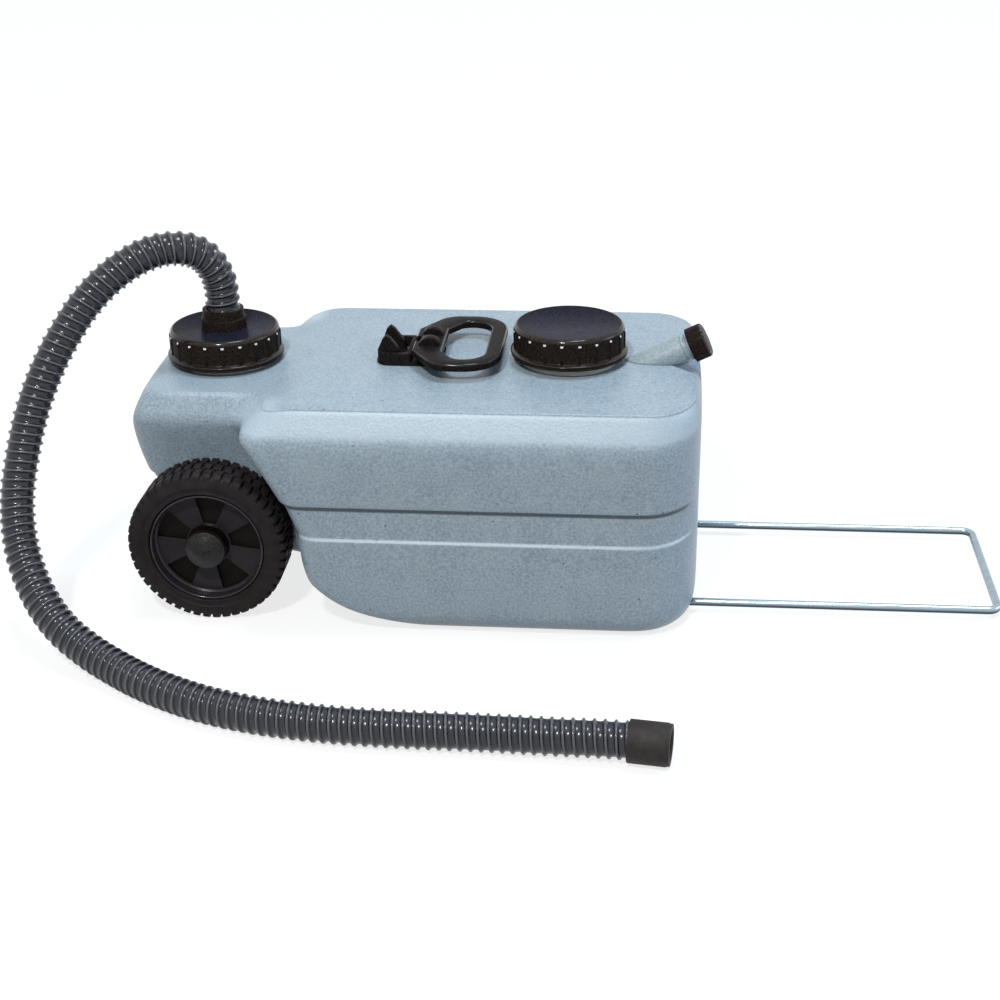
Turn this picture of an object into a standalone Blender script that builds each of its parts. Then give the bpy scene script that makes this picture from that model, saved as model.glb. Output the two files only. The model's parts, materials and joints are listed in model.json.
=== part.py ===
"""Portable waste water tank on two wheels, with a drain hose, two wide screw caps, a pouring spout,
a folding carry grip and a wire pull handle that slides out from under the tank.

Metres, +Z up. +X runs along the tank, from the wheels to the pull handle. -Y is the front side.
The sizes below are measured from the middle of the tank. The last step moves the whole part
along X, so that its origin is on the floor, under the middle of the tank's flat base.
"""
import math

import bmesh
import bpy
from mathutils import Matrix, Vector

# Gaps between pieces
SEAT = 0.0003          # between two pieces that rest on each other
RUN = 0.0003           # around a shaft, a pin or a wire
WALL = 0.003           # wall of the moulded tank

# Tank
FLAT_BASE_X = 0.1330   # middle of the flat base, from the tank's middle
DECK_Z = 0.2310        # height of the main deck
NOSE_DROP = 0.0055     # how much lower the deck over the wheels lies
END_X = 0.2765         # end wall, at the handle
NOSE_X = -0.2765       # front of the nose, over the wheels
HALF_W = 0.162         # half the width, at the shoulder
BASE_R = 0.027         # rounding between the side walls and the base
BAND_LOW = 0.101       # lower edge of the recessed side band
BAND_HIGH = 0.135      # upper edge of the recessed side band
BAND_DEPTH = 0.0038    # depth of the recessed side band
DECK_HALF_W = 0.1455   # half the width of the flat deck
CORNER_X = 0.055       # corners at the end wall, along the tank
CORNER_Y = 0.075       # and across it

# Screw necks and caps
NECK_R = 0.0466        # neck's outside, at the root of its thread
NECK_WALL = 0.0036
THREAD_H = 0.0018
THREAD_PITCH = 0.006
THREAD_TURNS = 1.25
THREAD_GAP = 0.0006    # between a thread's crest and the other part's root
CAP_R = 0.0555         # cap's skirt
CAP_FLANGE_R = 0.0580
CAP_FLANGE_H = 0.0052
CAP_H = 0.0305
CAP_TOP_T = 0.0032
CAP_FLUTES = 24
HOSE_CAP_X = -0.1983
HOSE_CAP_RISE = 0.0352     # cap's top above the nose deck
BLANK_CAP_X = 0.1466
BLANK_CAP_RISE = 0.0379    # cap's top above the main deck
SEAL_T = 0.0020

# Hose, its socket in the cap and its end cuff
HOSE_R = 0.0173        # crest of a rib
HOSE_ROOT_R = 0.0155   # valley between two ribs
HOSE_BORE_R = 0.0128
RIB_PITCH = 0.0088
SOCKET_WALL = 0.0044
SOCKET_TALL = 0.0180   # above the cap's top
SOCKET_DEEP = 0.0150
SOCKET_STEP = 0.0016
FLANGE_T = 0.0025
CUFF_R = 0.0190
CUFF_L = 0.0365
CUFF_LAP = 0.0260      # how far the hose reaches into the cuff

# Pouring spout
SPOUT_TILT = 26.0      # degrees above the horizontal
SPOUT_X = 0.2773       # where the spout's axis ends, at its mouth
SPOUT_Z = 0.2524
SPOUT_R = 0.0132
SPOUT_LEN = 0.080
SPOUT_WALL = 0.0026
SPOUT_PITCH = 0.0040
SPOUT_THREAD_H = 0.0011
SPOUT_CAP_R = 0.0172
SPOUT_CAP_H = 0.0170
SPOUT_CAP_T = 0.0026
SPOUT_SEAL_T = 0.0012
SPOUT_RIBS = 8
SCOOP_X = 0.2365       # where the scoop under the spout's cap starts in the deck
SCOOP_SPREAD = 51.0    # degrees between the scoop's axis and its side
SCOOP_LONG = 0.075

# Wheels
WHEEL_X = -0.1995
WHEEL_R = 0.0786
WHEEL_W = 0.0440
WHEEL_INSET = 0.0248   # outer face of a tyre, in from the tank's widest line
WHEEL_GAP = 0.0033     # between a tyre and the side of the nose
TREAD_DEEP = 0.0034
LUGS = 20
RIM_R = 0.0562
RIM_DISH = 0.0129      # depth of the web below the tyre's outer face
HUB_R = 0.0200
HUB_CAP_R = 0.0192
HUB_CAP_H = 0.0095
SPOKES = 5
WINDOW_DEEP = 0.0050   # recesses between the spokes
WINDOW_TURN = 0.16     # place of the first recess, as a share of the step between two
WEB_T = 0.0078
AXLE_R = 0.0045
SPACER_R = 0.0110
CLIP_R = 0.0095
CLIP_T = 0.0014

# Pull handle
WIRE_R = 0.0040
HANDLE_X = 0.5722      # middle of the crossbar, pulled out
HANDLE_Y = 0.0881      # middle of a leg
HANDLE_Z = 0.0102
HANDLE_BEND = 0.0110
HANDLE_TRAVEL = 0.250  # how far the handle slides in
STOP_R = 0.0058
STOP_L = 0.0090
GUIDE_L = 0.0180
GUIDE_W = 0.0164
GUIDE_H = 0.0150
GUIDE_OUTER_X = 0.2500
GUIDE_INNER_X = 0.2050
GROOVE_CLEAR = 0.0009  # between a channel and the end stops that run in it

# Carry grip
GRIP_X = 0.0050        # hinge axis
GRIP_RISE = 0.0145     # hinge axis above the deck
GRIP_CLEAR = 0.0008    # around what the turning loop sweeps
LOOP_T = 0.0084
LOOP_BACK = 0.0112     # loop's end behind the hinge axis
LOOP_BACK_HALF_W = 0.0300
LOOP_REACH = 0.0780    # from the hinge axis to the loop's far edge
LOOP_HALF_W = 0.0710
LOOP_BAR = 0.0165
HOLE_START = 0.0190    # from the hinge axis to the finger hole
LUG_R = 0.0070
LUG_HALF_W = 0.0072
ARCH_R = 0.0118        # raised half-round arches over the hinge
ARCH_X = 0.0052
ARCH_RISE = 0.0118
ARCH_IN = 0.0085
ARCH_W = 0.0115
PIN_R = 0.0025
PIN_HALF_L = 0.0240
BASE_X = -0.0430       # end of the grip's base, away from the hinge
BASE_END = 0.0220
BASE_HALF_W = 0.0290
BASE_T = 0.0018
BASE_WALL_H = 0.0120
REST_X = 0.0100        # the loop rests on a rib this far past its axis
REST_W = 0.0060
HORN_H = 0.0270
HORN_Y = 0.0150
HORN_T = 0.0070
HORN_L = 0.0240
SCREW_R = 0.0030
SCREW_HEAD_H = 0.0022

# Hand-laid route of the hose, from its socket down to the floor and along it
HOSE_ROUTE = [
    (-0.2002, -0.0010, 0.3110), (-0.2080, -0.0050, 0.3290), (-0.2190, -0.0100, 0.3390),
    (-0.2335, -0.0170, 0.3440), (-0.2500, -0.0240, 0.3440), (-0.2694, -0.0350, 0.3386),
    (-0.2917, -0.0480, 0.3255), (-0.3140, -0.0620, 0.3047), (-0.3333, -0.0770, 0.2779),
    (-0.3502, -0.0920, 0.2476), (-0.3649, -0.1080, 0.2103), (-0.3742, -0.1260, 0.1698),
    (-0.3775, -0.1470, 0.1300), (-0.3695, -0.1720, 0.0925), (-0.3490, -0.2010, 0.0615),
    (-0.3209, -0.2273, 0.0395), (-0.2894, -0.2466, 0.0255), (-0.2564, -0.2669, 0.0190),
    (-0.2177, -0.2922, 0.0176), (-0.1652, -0.3190, 0.0176), (-0.1162, -0.3345, 0.0176),
    (-0.0701, -0.3429, 0.0176), (-0.0253, -0.3474, 0.0176), (0.0188, -0.3493, 0.0176),
    (0.0625, -0.3498, 0.0176), (0.1060, -0.3506, 0.0176), (0.1493, -0.3524, 0.0178),
]
HOSE_END = (0.2425, -0.3605, 0.0193)      # where the hose ends, inside its cuff
HOSE_HEADING = (1.0, -0.130, 0.0)         # its direction there

WHEEL_SIDES = {"front": -1, "rear": 1}


def clear_scene():
    for old in list(bpy.data.objects):
        bpy.data.objects.remove(old, do_unlink=True)


def material(name, colour, roughness, metallic=0.0):
    made = bpy.data.materials.new(name)
    made.use_nodes = True
    shader = made.node_tree.nodes["Principled BSDF"]
    shader.inputs["Base Color"].default_value = (*colour, 1.0)
    shader.inputs["Roughness"].default_value = roughness
    shader.inputs["Metallic"].default_value = metallic
    return made


def add_object(name, mesh, finish=None, at=(0, 0, 0), turn=(0, 0, 0), sharp=35):
    """Links a mesh as a named object, round faces shaded smooth."""
    obj = bpy.data.objects.new(name, mesh)
    bpy.context.scene.collection.objects.link(obj)
    obj.location = at
    obj.rotation_euler = turn
    if finish is not None:
        mesh.materials.append(finish)
        mesh.shade_smooth()
        mesh.set_sharp_from_angle(angle=math.radians(sharp))
    return obj


def to_mesh(bm, name):
    bmesh.ops.remove_doubles(bm, verts=bm.verts, dist=1e-6)
    bmesh.ops.recalc_face_normals(bm, faces=bm.faces)
    mesh = bpy.data.meshes.new(name)
    bm.to_mesh(mesh)
    bm.free()
    return mesh


def combine(obj, tool, operation="DIFFERENCE"):
    """Cuts or joins with a hidden tool object."""
    tool.hide_render = True
    tool.display_type = "WIRE"
    step = obj.modifiers.new(tool.name, "BOOLEAN")
    step.operation = operation
    step.object = tool
    return obj


def turned(profile, steps, closed=True):
    """Spins a profile of (radius, height) points about Z. An open one starts and ends on the axis."""
    bm = bmesh.new()
    ring = [bm.verts.new((r, 0, z)) for r, z in profile]
    pairs = list(zip(ring, ring[1:]))
    if closed:
        pairs.append((ring[-1], ring[0]))
    edges = [bm.edges.new(p) for p in pairs]
    bmesh.ops.spin(bm, geom=ring + edges, axis=(0, 0, 1), angle=2 * math.pi, steps=steps, use_merge=True)
    bmesh.ops.remove_doubles(bm, verts=bm.verts, dist=1e-6)
    return bm


def prism(outline, low, high):
    """Extrudes a flat outline of (x, y) points from one height to another."""
    bm = bmesh.new()
    face = bm.faces.new([bm.verts.new((x, y, low)) for x, y in outline])
    grown = bmesh.ops.extrude_face_region(bm, geom=[face])
    tops = [v for v in grown["geom"] if isinstance(v, bmesh.types.BMVert)]
    bmesh.ops.translate(bm, verts=tops, vec=(0, 0, high - low))
    return bm


def box(low, high):
    bm = bmesh.new()
    bmesh.ops.create_cube(bm, size=1.0)
    size = [b - a for a, b in zip(low, high)]
    middle = [(a + b) / 2 for a, b in zip(low, high)]
    bmesh.ops.scale(bm, verts=bm.verts, vec=size)
    bmesh.ops.translate(bm, verts=bm.verts, vec=middle)
    return bm


def rod(radius, low, high, steps, turn=None):
    """A round bar along Z between two heights, or turned by a matrix."""
    bm = turned([(0, low), (radius, low), (radius, high), (0, high)], steps, closed=False)
    if turn is not None:
        bmesh.ops.transform(bm, matrix=turn, verts=bm.verts)
    return bm


def arc(cx, cy, rx, ry, start, end, steps):
    """Points on an elliptic arc, angles in degrees."""
    turns = [math.radians(start + (end - start) * i / steps) for i in range(steps + 1)]
    return [(cx + rx * math.cos(t), cy + ry * math.sin(t)) for t in turns]


def rounded(corners, steps):
    """A closed outline through corners of (x, y, radius), each corner rounded."""
    points = []
    count = len(corners)
    for i, (x, y, radius) in enumerate(corners):
        here = Vector((x, y))
        back = (Vector(corners[i - 1][:2]) - here).normalized()
        ahead = (Vector(corners[(i + 1) % count][:2]) - here).normalized()
        half = back.angle(ahead) / 2
        reach = radius / math.tan(half)
        centre = here + (back + ahead).normalized() * radius / math.sin(half)
        first = here + back * reach - centre
        last = here + ahead * reach - centre
        sweep = first.angle_signed(last)
        for k in range(steps + 1):
            points.append(tuple(centre + Matrix.Rotation(-sweep * k / steps, 2) @ first))
    return points


def thread_ridge(name, root, height, pitch, turns, start, steps=16, inward=False):
    """A helical ridge, right-handed, set a little into the wall that carries it."""
    sign = -1 if inward else 1
    sunk = 0.0006
    width = pitch * 0.46
    crest = pitch * 0.26
    section = [(root - sign * sunk, -width / 2), (root + sign * height, -crest / 2),
               (root + sign * height, crest / 2), (root - sign * sunk, width / 2)]
    bm = bmesh.new()
    rings = []
    for i in range(int(turns * steps) + 1):
        angle = 2 * math.pi * i / steps
        rise = start + pitch * i / steps
        rings.append([bm.verts.new((r * math.cos(angle), r * math.sin(angle), rise + z)) for r, z in section])
    for a, b in zip(rings, rings[1:]):
        for k in range(4):
            bm.faces.new((a[k], a[(k + 1) % 4], b[(k + 1) % 4], b[k]))
    bm.faces.new(rings[0])
    bm.faces.new(list(reversed(rings[-1])))
    return add_object(name, to_mesh(bm, name))


def smooth_curve(points, spacing):
    """Points at even steps along a smooth curve through the given ones."""
    pts = [Vector(p) for p in points]
    pts = [pts[0] * 2 - pts[1]] + pts + [pts[-1] * 2 - pts[-2]]
    fine = []
    for p0, p1, p2, p3 in zip(pts, pts[1:], pts[2:], pts[3:]):
        knots = [0.0]
        for a, b in ((p0, p1), (p1, p2), (p2, p3)):
            knots.append(knots[-1] + (b - a).length ** 0.5)
        t0, t1, t2, t3 = knots
        for k in range(16):
            t = t1 + (t2 - t1) * k / 16
            a1 = p0.lerp(p1, (t - t0) / (t1 - t0))
            a2 = p1.lerp(p2, (t - t1) / (t2 - t1))
            a3 = p2.lerp(p3, (t - t2) / (t3 - t2))
            b1 = a1.lerp(a2, (t - t0) / (t2 - t0))
            b2 = a2.lerp(a3, (t - t1) / (t3 - t1))
            fine.append(b1.lerp(b2, (t - t1) / (t2 - t1)))
    fine.append(pts[-2])
    travelled = [0.0]
    for a, b in zip(fine, fine[1:]):
        travelled.append(travelled[-1] + (b - a).length)
    count = round(travelled[-1] / spacing)
    even = []
    j = 0
    for i in range(count + 1):
        want = travelled[-1] * i / count
        while j < len(fine) - 2 and travelled[j + 1] < want:
            j += 1
        span = travelled[j + 1] - travelled[j]
        even.append(fine[j].lerp(fine[j + 1], (want - travelled[j]) / span))
    return even, travelled[-1]


def tube(name, points, radii, resolution=2):
    """A tube along points, with a radius at each of them."""
    curve = bpy.data.curves.new(name, "CURVE")
    curve.dimensions = "3D"
    curve.bevel_depth = 1.0
    curve.bevel_resolution = resolution
    curve.use_fill_caps = True
    curve.twist_mode = "MINIMUM"
    spline = curve.splines.new("POLY")
    spline.points.add(len(points) - 1)
    for point, place, radius in zip(spline.points, points, radii):
        point.co = (*place, 1.0)
        point.radius = radius
    obj = bpy.data.objects.new(name, curve)
    bpy.context.scene.collection.objects.link(obj)
    return obj


def as_mesh(curve_object):
    """Swaps a curve for the same form as a mesh, which a Boolean can cut."""
    graph = bpy.context.evaluated_depsgraph_get()
    bm = bmesh.new()
    bm.from_mesh(curve_object.evaluated_get(graph).to_mesh())
    name = curve_object.name
    bpy.data.objects.remove(curve_object, do_unlink=True)
    return to_mesh(bm, name)


# Tank

NOSE_DECK_Z = DECK_Z - NOSE_DROP
HOSE_CAP_TOP = NOSE_DECK_Z + HOSE_CAP_RISE
BLANK_CAP_TOP = DECK_Z + BLANK_CAP_RISE
NECK_TOP_GAP = CAP_TOP_T + SEAT + SEAL_T + SEAT
BLANK_NECK_TOP = BLANK_CAP_TOP - NECK_TOP_GAP
HOSE_NECK_TOP = HOSE_CAP_TOP - NECK_TOP_GAP - FLANGE_T - SEAT
SPOUT_DIR = Vector((math.cos(math.radians(SPOUT_TILT)), 0, math.sin(math.radians(SPOUT_TILT))))
SPOUT_MOUTH = Vector((SPOUT_X, 0, SPOUT_Z))
SPOUT_TURN = (0, math.radians(90 - SPOUT_TILT), 0)
WHEEL_OUT = HALF_W - WHEEL_INSET
NOSE_HALF_W = WHEEL_OUT - WHEEL_W - WHEEL_GAP
THROUGH = HALF_W + 0.040   # half length of a tool that cuts right across the tank


def tank_levels():
    """Height, half width, flank x, nose half width and nose x of each outline, from the base up."""
    side = HALF_W - 0.006
    band = HALF_W - 0.004 - BAND_DEPTH
    nose = NOSE_HALF_W
    edge = 0.002
    return [
        (0.0, side - 0.93 * BASE_R, 0.016, None, None),
        (0.18 * BASE_R, side - 0.40 * BASE_R, -0.005, None, None),
        (0.58 * BASE_R, side - 0.08 * BASE_R, -0.046, None, None),
        (BASE_R, side, -0.076, None, None),
        (0.046, side, -0.098, None, None),
        (0.052, side, -0.101, nose - 0.006, NOSE_X + 0.067),
        (0.070, side + 0.0005, -0.106, nose, NOSE_X + 0.050),
        (BAND_LOW - edge, side + 0.001, -0.107, nose, NOSE_X + 0.032),
        (BAND_LOW + edge, band, -0.108, nose, NOSE_X + 0.029),
        (BAND_HIGH - edge, band, -0.121, nose + 0.0003, NOSE_X + 0.0115),
        (BAND_HIGH + edge, HALF_W - 0.004, -0.123, nose + 0.0005, NOSE_X + 0.0085),
        (0.160, HALF_W - 0.002, -0.135, nose + 0.0020, NOSE_X + 0.001),
        (0.184, HALF_W - 0.0005, -0.149, nose + 0.0105, NOSE_X),
        (0.200, HALF_W, -0.156, nose + 0.0150, NOSE_X + 0.0015),
        (0.209, HALF_W - 0.0025, -0.1575, nose + 0.0150, NOSE_X + 0.004),
        (0.223, DECK_HALF_W + 0.0050, -0.147, nose + 0.0090, NOSE_X + 0.0105),
        (DECK_Z - 0.0018, DECK_HALF_W + 0.0010, -0.138, nose + 0.0065, NOSE_X + 0.0145),
        (DECK_Z, DECK_HALF_W - 0.0025, -0.134, nose + 0.0035, NOSE_X + 0.0180),
    ]


def half_outline(level, fine):
    """Half of the tank's outline at one height, from the end wall round to the nose, y negative."""
    z, width, flank, nose_w, nose_x = level
    rise = max(0.0, z - (DECK_Z - 0.030)) / 0.030
    end = END_X - 0.006 * max(0.0, 1 - z / BASE_R) ** 2 - 0.006 * rise ** 4
    reach, depth = CORNER_X - 0.012 * rise, CORNER_Y - 0.020 * rise
    side = width
    points = [(end + 0.0015, 0.0), (end + 0.0010, -(side - depth) * 0.5)]
    points += arc(end - reach, -(side - depth), reach, depth, 0, -90, 4 + 2 * fine)
    corner = 0.020
    front = flank + corner
    points.append(((end - reach + front) / 2, -side))
    points += arc(front, -(side - corner), corner, corner, -90, -180, 2 + 2 * fine)
    if nose_w is None:
        low = points[-1][1]
        rest = 9 + 2 * fine
        points += [(flank, low * (1 - k / rest)) for k in range(1, rest + 1)]
        return [(x, y, z) for x, y in points]
    valley = 0.022
    points += arc(flank - valley, -(nose_w + valley), valley, valley, 0, 90, 3)
    round_nose = 0.020
    points += [(flank - valley + (nose_x + round_nose - flank + valley) * k, -nose_w) for k in (0.35, 0.7)]
    turn_steps = 1 + 2 * fine
    points += arc(nose_x + round_nose, -(nose_w - round_nose), round_nose, round_nose, -90, -180, turn_steps)
    points.append((nose_x, 0.0))
    return [(x, y, z) for x, y in points]


def tank_body(levels, fine):
    """The closed form of the tank, lofted through its outlines, its nose a little lower."""
    bm = bmesh.new()
    rings = []
    for level in levels:
        half = half_outline(level, fine)
        other = [(x, -y, z) for x, y, z in reversed(half[1:-1])]
        rings.append([bm.verts.new(p) for p in half + other])
    for a, b in zip(rings, rings[1:]):
        for k in range(len(a)):
            n = (k + 1) % len(a)
            bm.faces.new((a[k], a[n], b[n], b[k]))
    bm.faces.new(rings[0])
    bm.faces.new(rings[-1])
    bmesh.ops.recalc_face_normals(bm, faces=bm.faces)
    for x in (-0.100, -0.117):
        bmesh.ops.bisect_plane(bm, geom=bm.verts[:] + bm.edges[:] + bm.faces[:], dist=1e-6,
                               plane_co=(x, 0, 0), plane_no=(1, 0, 0))
    for v in bm.verts:
        along = min(1.0, max(0.0, (-0.100 - v.co.x) / 0.034))
        up = min(1.0, max(0.0, (v.co.z - 0.190) / (DECK_Z - 0.190)))
        v.co.z -= NOSE_DROP * along * along * (3 - 2 * along) * up
    return bm


def cavity_body():
    """The tank's form drawn in by its wall, from fewer outlines."""
    levels = tank_levels()
    bm = tank_body([levels[i] for i in (0, 2, 3, 4, 5, 8, 9, 10, 11, 13, 15, 17)], 0)
    bm.normal_update()
    moves = [(v, v.normal * v.calc_shell_factor()) for v in bm.verts]
    for v, way in moves:
        v.co -= way * WALL
    return bm


def scoop_tool(name, grow):
    """A cone along the spout's axis, which clears the deck under the spout's cap."""
    spread = math.radians(SCOOP_SPREAD)
    back = grow / math.sin(spread)
    long = SCOOP_LONG + back
    bm = bmesh.new()
    bmesh.ops.create_cone(bm, cap_ends=True, segments=20, radius1=0.0, radius2=long * math.tan(spread), depth=long)
    start = Vector((SCOOP_X, 0, DECK_Z)) + SPOUT_DIR * (long / 2 - back)
    bmesh.ops.transform(bm, matrix=Matrix.Rotation(SPOUT_TURN[1], 4, "Y"), verts=bm.verts)
    return add_object(name, to_mesh(bm, name), at=start)


def leg_end():
    """Where the handle's legs end under the tank, behind their stops."""
    return GUIDE_INNER_X - GUIDE_L / 2 - SEAT - STOP_L


def groove_box(side, half, top):
    """A channel under the tank, along one leg of the pull handle."""
    y = side * HANDLE_Y
    return box((leg_end() - HANDLE_TRAVEL - GROOVE_CLEAR, y - half, -0.010), (END_X + 0.010, y + half, top))


def guide_pocket(side, x):
    """Room for one guide, cut up into the channel's roof."""
    half_l, half_w = GUIDE_L / 2 + SEAT, GUIDE_W / 2 + SEAT
    y = side * HANDLE_Y
    return box((x - half_l, y - half_w, -0.010), (x + half_l, y + half_w, HANDLE_Z + GUIDE_H / 2 + SEAT))


def axle_turn():
    return Matrix.Rotation(math.radians(90), 4, "X")


def tank_shell(finish):
    """The moulded tank: hollow, with two wide necks, a spout, an axle tunnel and grooves for the handle."""
    tank = add_object("tank_shell", to_mesh(tank_body(tank_levels(), 1), "tank_shell"), finish, sharp=32)

    hollow = add_object("tank_hollow", to_mesh(cavity_body(), "tank_hollow"))
    for side in (-1, 1):
        half, top = GUIDE_W / 2 + SEAT + WALL, HANDLE_Z + GUIDE_H / 2 + SEAT + WALL
        spare = add_object(f"groove_wall_{side}", to_mesh(groove_box(side, half, top), "groove_wall"))
        combine(hollow, spare)
    sleeve = rod(AXLE_R + RUN + WALL, -THROUGH, THROUGH, 16, axle_turn())
    sleeve = add_object("axle_sleeve", to_mesh(sleeve, "axle_sleeve"), at=(WHEEL_X, 0, WHEEL_R))
    combine(hollow, sleeve)
    combine(hollow, scoop_tool("scoop_wall", WALL))

    for name, x, top in (("hose_neck", HOSE_CAP_X, HOSE_NECK_TOP), ("blank_neck", BLANK_CAP_X, BLANK_NECK_TOP)):
        wall = rod(NECK_R, DECK_Z - 0.030, top, 36)
        combine(tank, add_object(name, to_mesh(wall, name), at=(x, 0, 0)), "UNION")
        low = top - THREAD_PITCH * THREAD_TURNS - 0.0045
        ridge = thread_ridge(name + "_thread", NECK_R, THREAD_H, THREAD_PITCH, THREAD_TURNS, low)
        ridge.location = (x, 0, 0)
        combine(tank, ridge, "UNION")

    spout = rod(SPOUT_R, -SPOUT_LEN, 0, 24)
    spout = add_object("spout_neck", to_mesh(spout, "spout_neck"), at=SPOUT_MOUTH, turn=SPOUT_TURN)
    combine(tank, scoop_tool("scoop", 0.0))
    combine(tank, spout, "UNION")
    low = -SPOUT_PITCH * 2 - SPOUT_CAP_H / 2
    ridge = thread_ridge("spout_thread", SPOUT_R, SPOUT_THREAD_H, SPOUT_PITCH, 2, low, 12)
    ridge.location = SPOUT_MOUTH
    ridge.rotation_euler = SPOUT_TURN
    combine(tank, ridge, "UNION")

    combine(tank, hollow)
    for name, x, top in (("hose_bore", HOSE_CAP_X, HOSE_NECK_TOP), ("blank_bore", BLANK_CAP_X, BLANK_NECK_TOP)):
        bore = rod(NECK_R - NECK_WALL, DECK_Z - 0.045, top + 0.01, 36)
        combine(tank, add_object(name, to_mesh(bore, name), at=(x, 0, 0)))
    bore = rod(SPOUT_R - SPOUT_WALL, -SPOUT_LEN - 0.012, 0.01, 20)
    bore = add_object("spout_bore", to_mesh(bore, "spout_bore"), at=SPOUT_MOUTH, turn=SPOUT_TURN)
    combine(tank, bore)
    tunnel = rod(AXLE_R + RUN, -THROUGH, THROUGH, 16, axle_turn())
    combine(tank, add_object("axle_tunnel", to_mesh(tunnel, "axle_tunnel"), at=(WHEEL_X, 0, WHEEL_R)))
    half = STOP_R + GROOVE_CLEAR
    for side in (-1, 1):
        groove = groove_box(side, half, HANDLE_Z + half)
        combine(tank, add_object(f"groove_{side}", to_mesh(groove, "groove")))
        for place, x in (("outer", GUIDE_OUTER_X), ("inner", GUIDE_INNER_X)):
            pocket = guide_pocket(side, x)
            combine(tank, add_object(f"{place}_pocket_{side}", to_mesh(pocket, "pocket")))
    return tank


# Screw caps

def fluted_cap(name, top, hole, finish, x):
    """A wide screw cap: a dished top in a raised rim, a fluted skirt, a flange and an inner thread."""
    low = -CAP_H
    flute_top = -0.0045
    rim = 0.0045
    steps = CAP_FLUTES * 2
    profile = [(CAP_FLANGE_R, low), (CAP_FLANGE_R, low + CAP_FLANGE_H), (CAP_R, low + CAP_FLANGE_H + 0.0012),
               (CAP_R, flute_top), (CAP_R - 0.0020, 0.0), (CAP_R - rim, 0.0)]
    root = NECK_R + THREAD_H + THREAD_GAP
    under = -CAP_TOP_T
    inner = [(root, under), (root, low)]
    if hole:
        profile += [(hole, -0.0008), (hole, under)] + inner
        bm = turned(profile, steps)
    else:
        bm = turned([(0, under)] + inner + profile + [(0, -0.0008)], steps, closed=False)
    for v in bm.verts:
        radius = math.hypot(v.co.x, v.co.y)
        turn = math.atan2(v.co.y, v.co.x) / (2 * math.pi) * steps
        if low + CAP_FLANGE_H < v.co.z < flute_top + 1e-5 and radius > CAP_R - 1e-5 and round(turn) % 2:
            v.co.x *= (CAP_R - 0.0011) / CAP_R
            v.co.y *= (CAP_R - 0.0011) / CAP_R
    cap = add_object(name, to_mesh(bm, name), finish, at=(x, 0, top))
    start = -CAP_TOP_T - 2 * SEAT - SEAL_T - THREAD_PITCH * (THREAD_TURNS - 0.5) - 0.0045
    if hole:
        start -= FLANGE_T + SEAT
    ridge = thread_ridge(name + "_thread", root, THREAD_H, THREAD_PITCH, 0.75, start, 24, inward=True)
    ridge.parent = cap
    combine(cap, ridge, "UNION")
    return cap


def washer(name, inner, outer, thick, finish, at, turn=(0, 0, 0), steps=24):
    bm = turned([(inner, 0), (outer, 0), (outer, thick), (inner, thick)], steps)
    return add_object(name, to_mesh(bm, name), finish, at=at, turn=turn)


def hose_spigot(finish):
    """The piece under the hose cap's ring: a flange on the seal, and a stepped socket for the hose."""
    socket = HOSE_R + RUN
    outer = socket + SOCKET_WALL
    flange_low = HOSE_NECK_TOP + SEAT + SEAL_T + SEAT - HOSE_CAP_TOP
    flange_high = flange_low + FLANGE_T
    ledge = SOCKET_TALL - SOCKET_DEEP
    half = SOCKET_TALL * 0.45
    profile = [(HOSE_BORE_R, flange_low), (NECK_R - 0.0006, flange_low), (NECK_R - 0.0006, flange_high),
               (outer, flange_high), (outer, half), (outer - SOCKET_STEP, half + 0.0006),
               (outer - SOCKET_STEP, SOCKET_TALL), (socket, SOCKET_TALL), (socket, ledge), (HOSE_BORE_R, ledge)]
    return add_object("hose_spigot", to_mesh(turned(profile, 28), "hose_spigot"), finish,
                      at=(HOSE_CAP_X, 0, HOSE_CAP_TOP))


def spout_cap(finish):
    """A small ribbed screw cap on the spout."""
    root = SPOUT_R + SPOUT_THREAD_H + 0.0004
    top = SEAT * 2 + SPOUT_SEAL_T + SPOUT_CAP_T
    low = top - SPOUT_CAP_H
    under = top - SPOUT_CAP_T
    steps = SPOUT_RIBS * 4
    profile = [(0, under), (root, under), (root, low), (SPOUT_CAP_R, low), (SPOUT_CAP_R, top - 0.0020),
               (SPOUT_CAP_R - 0.0016, top), (0, top)]
    bm = turned(profile, steps, closed=False)
    for v in bm.verts:
        radius = math.hypot(v.co.x, v.co.y)
        turn = round(math.atan2(v.co.y, v.co.x) / (2 * math.pi) * steps)
        if radius > SPOUT_CAP_R - 1e-5 and turn % 4 == 0:
            v.co.x *= (SPOUT_CAP_R - 0.0010) / SPOUT_CAP_R
            v.co.y *= (SPOUT_CAP_R - 0.0010) / SPOUT_CAP_R
    return add_object("spout_cap", to_mesh(bm, "spout_cap"), finish, at=SPOUT_MOUTH, turn=SPOUT_TURN)


# Hose

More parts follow.
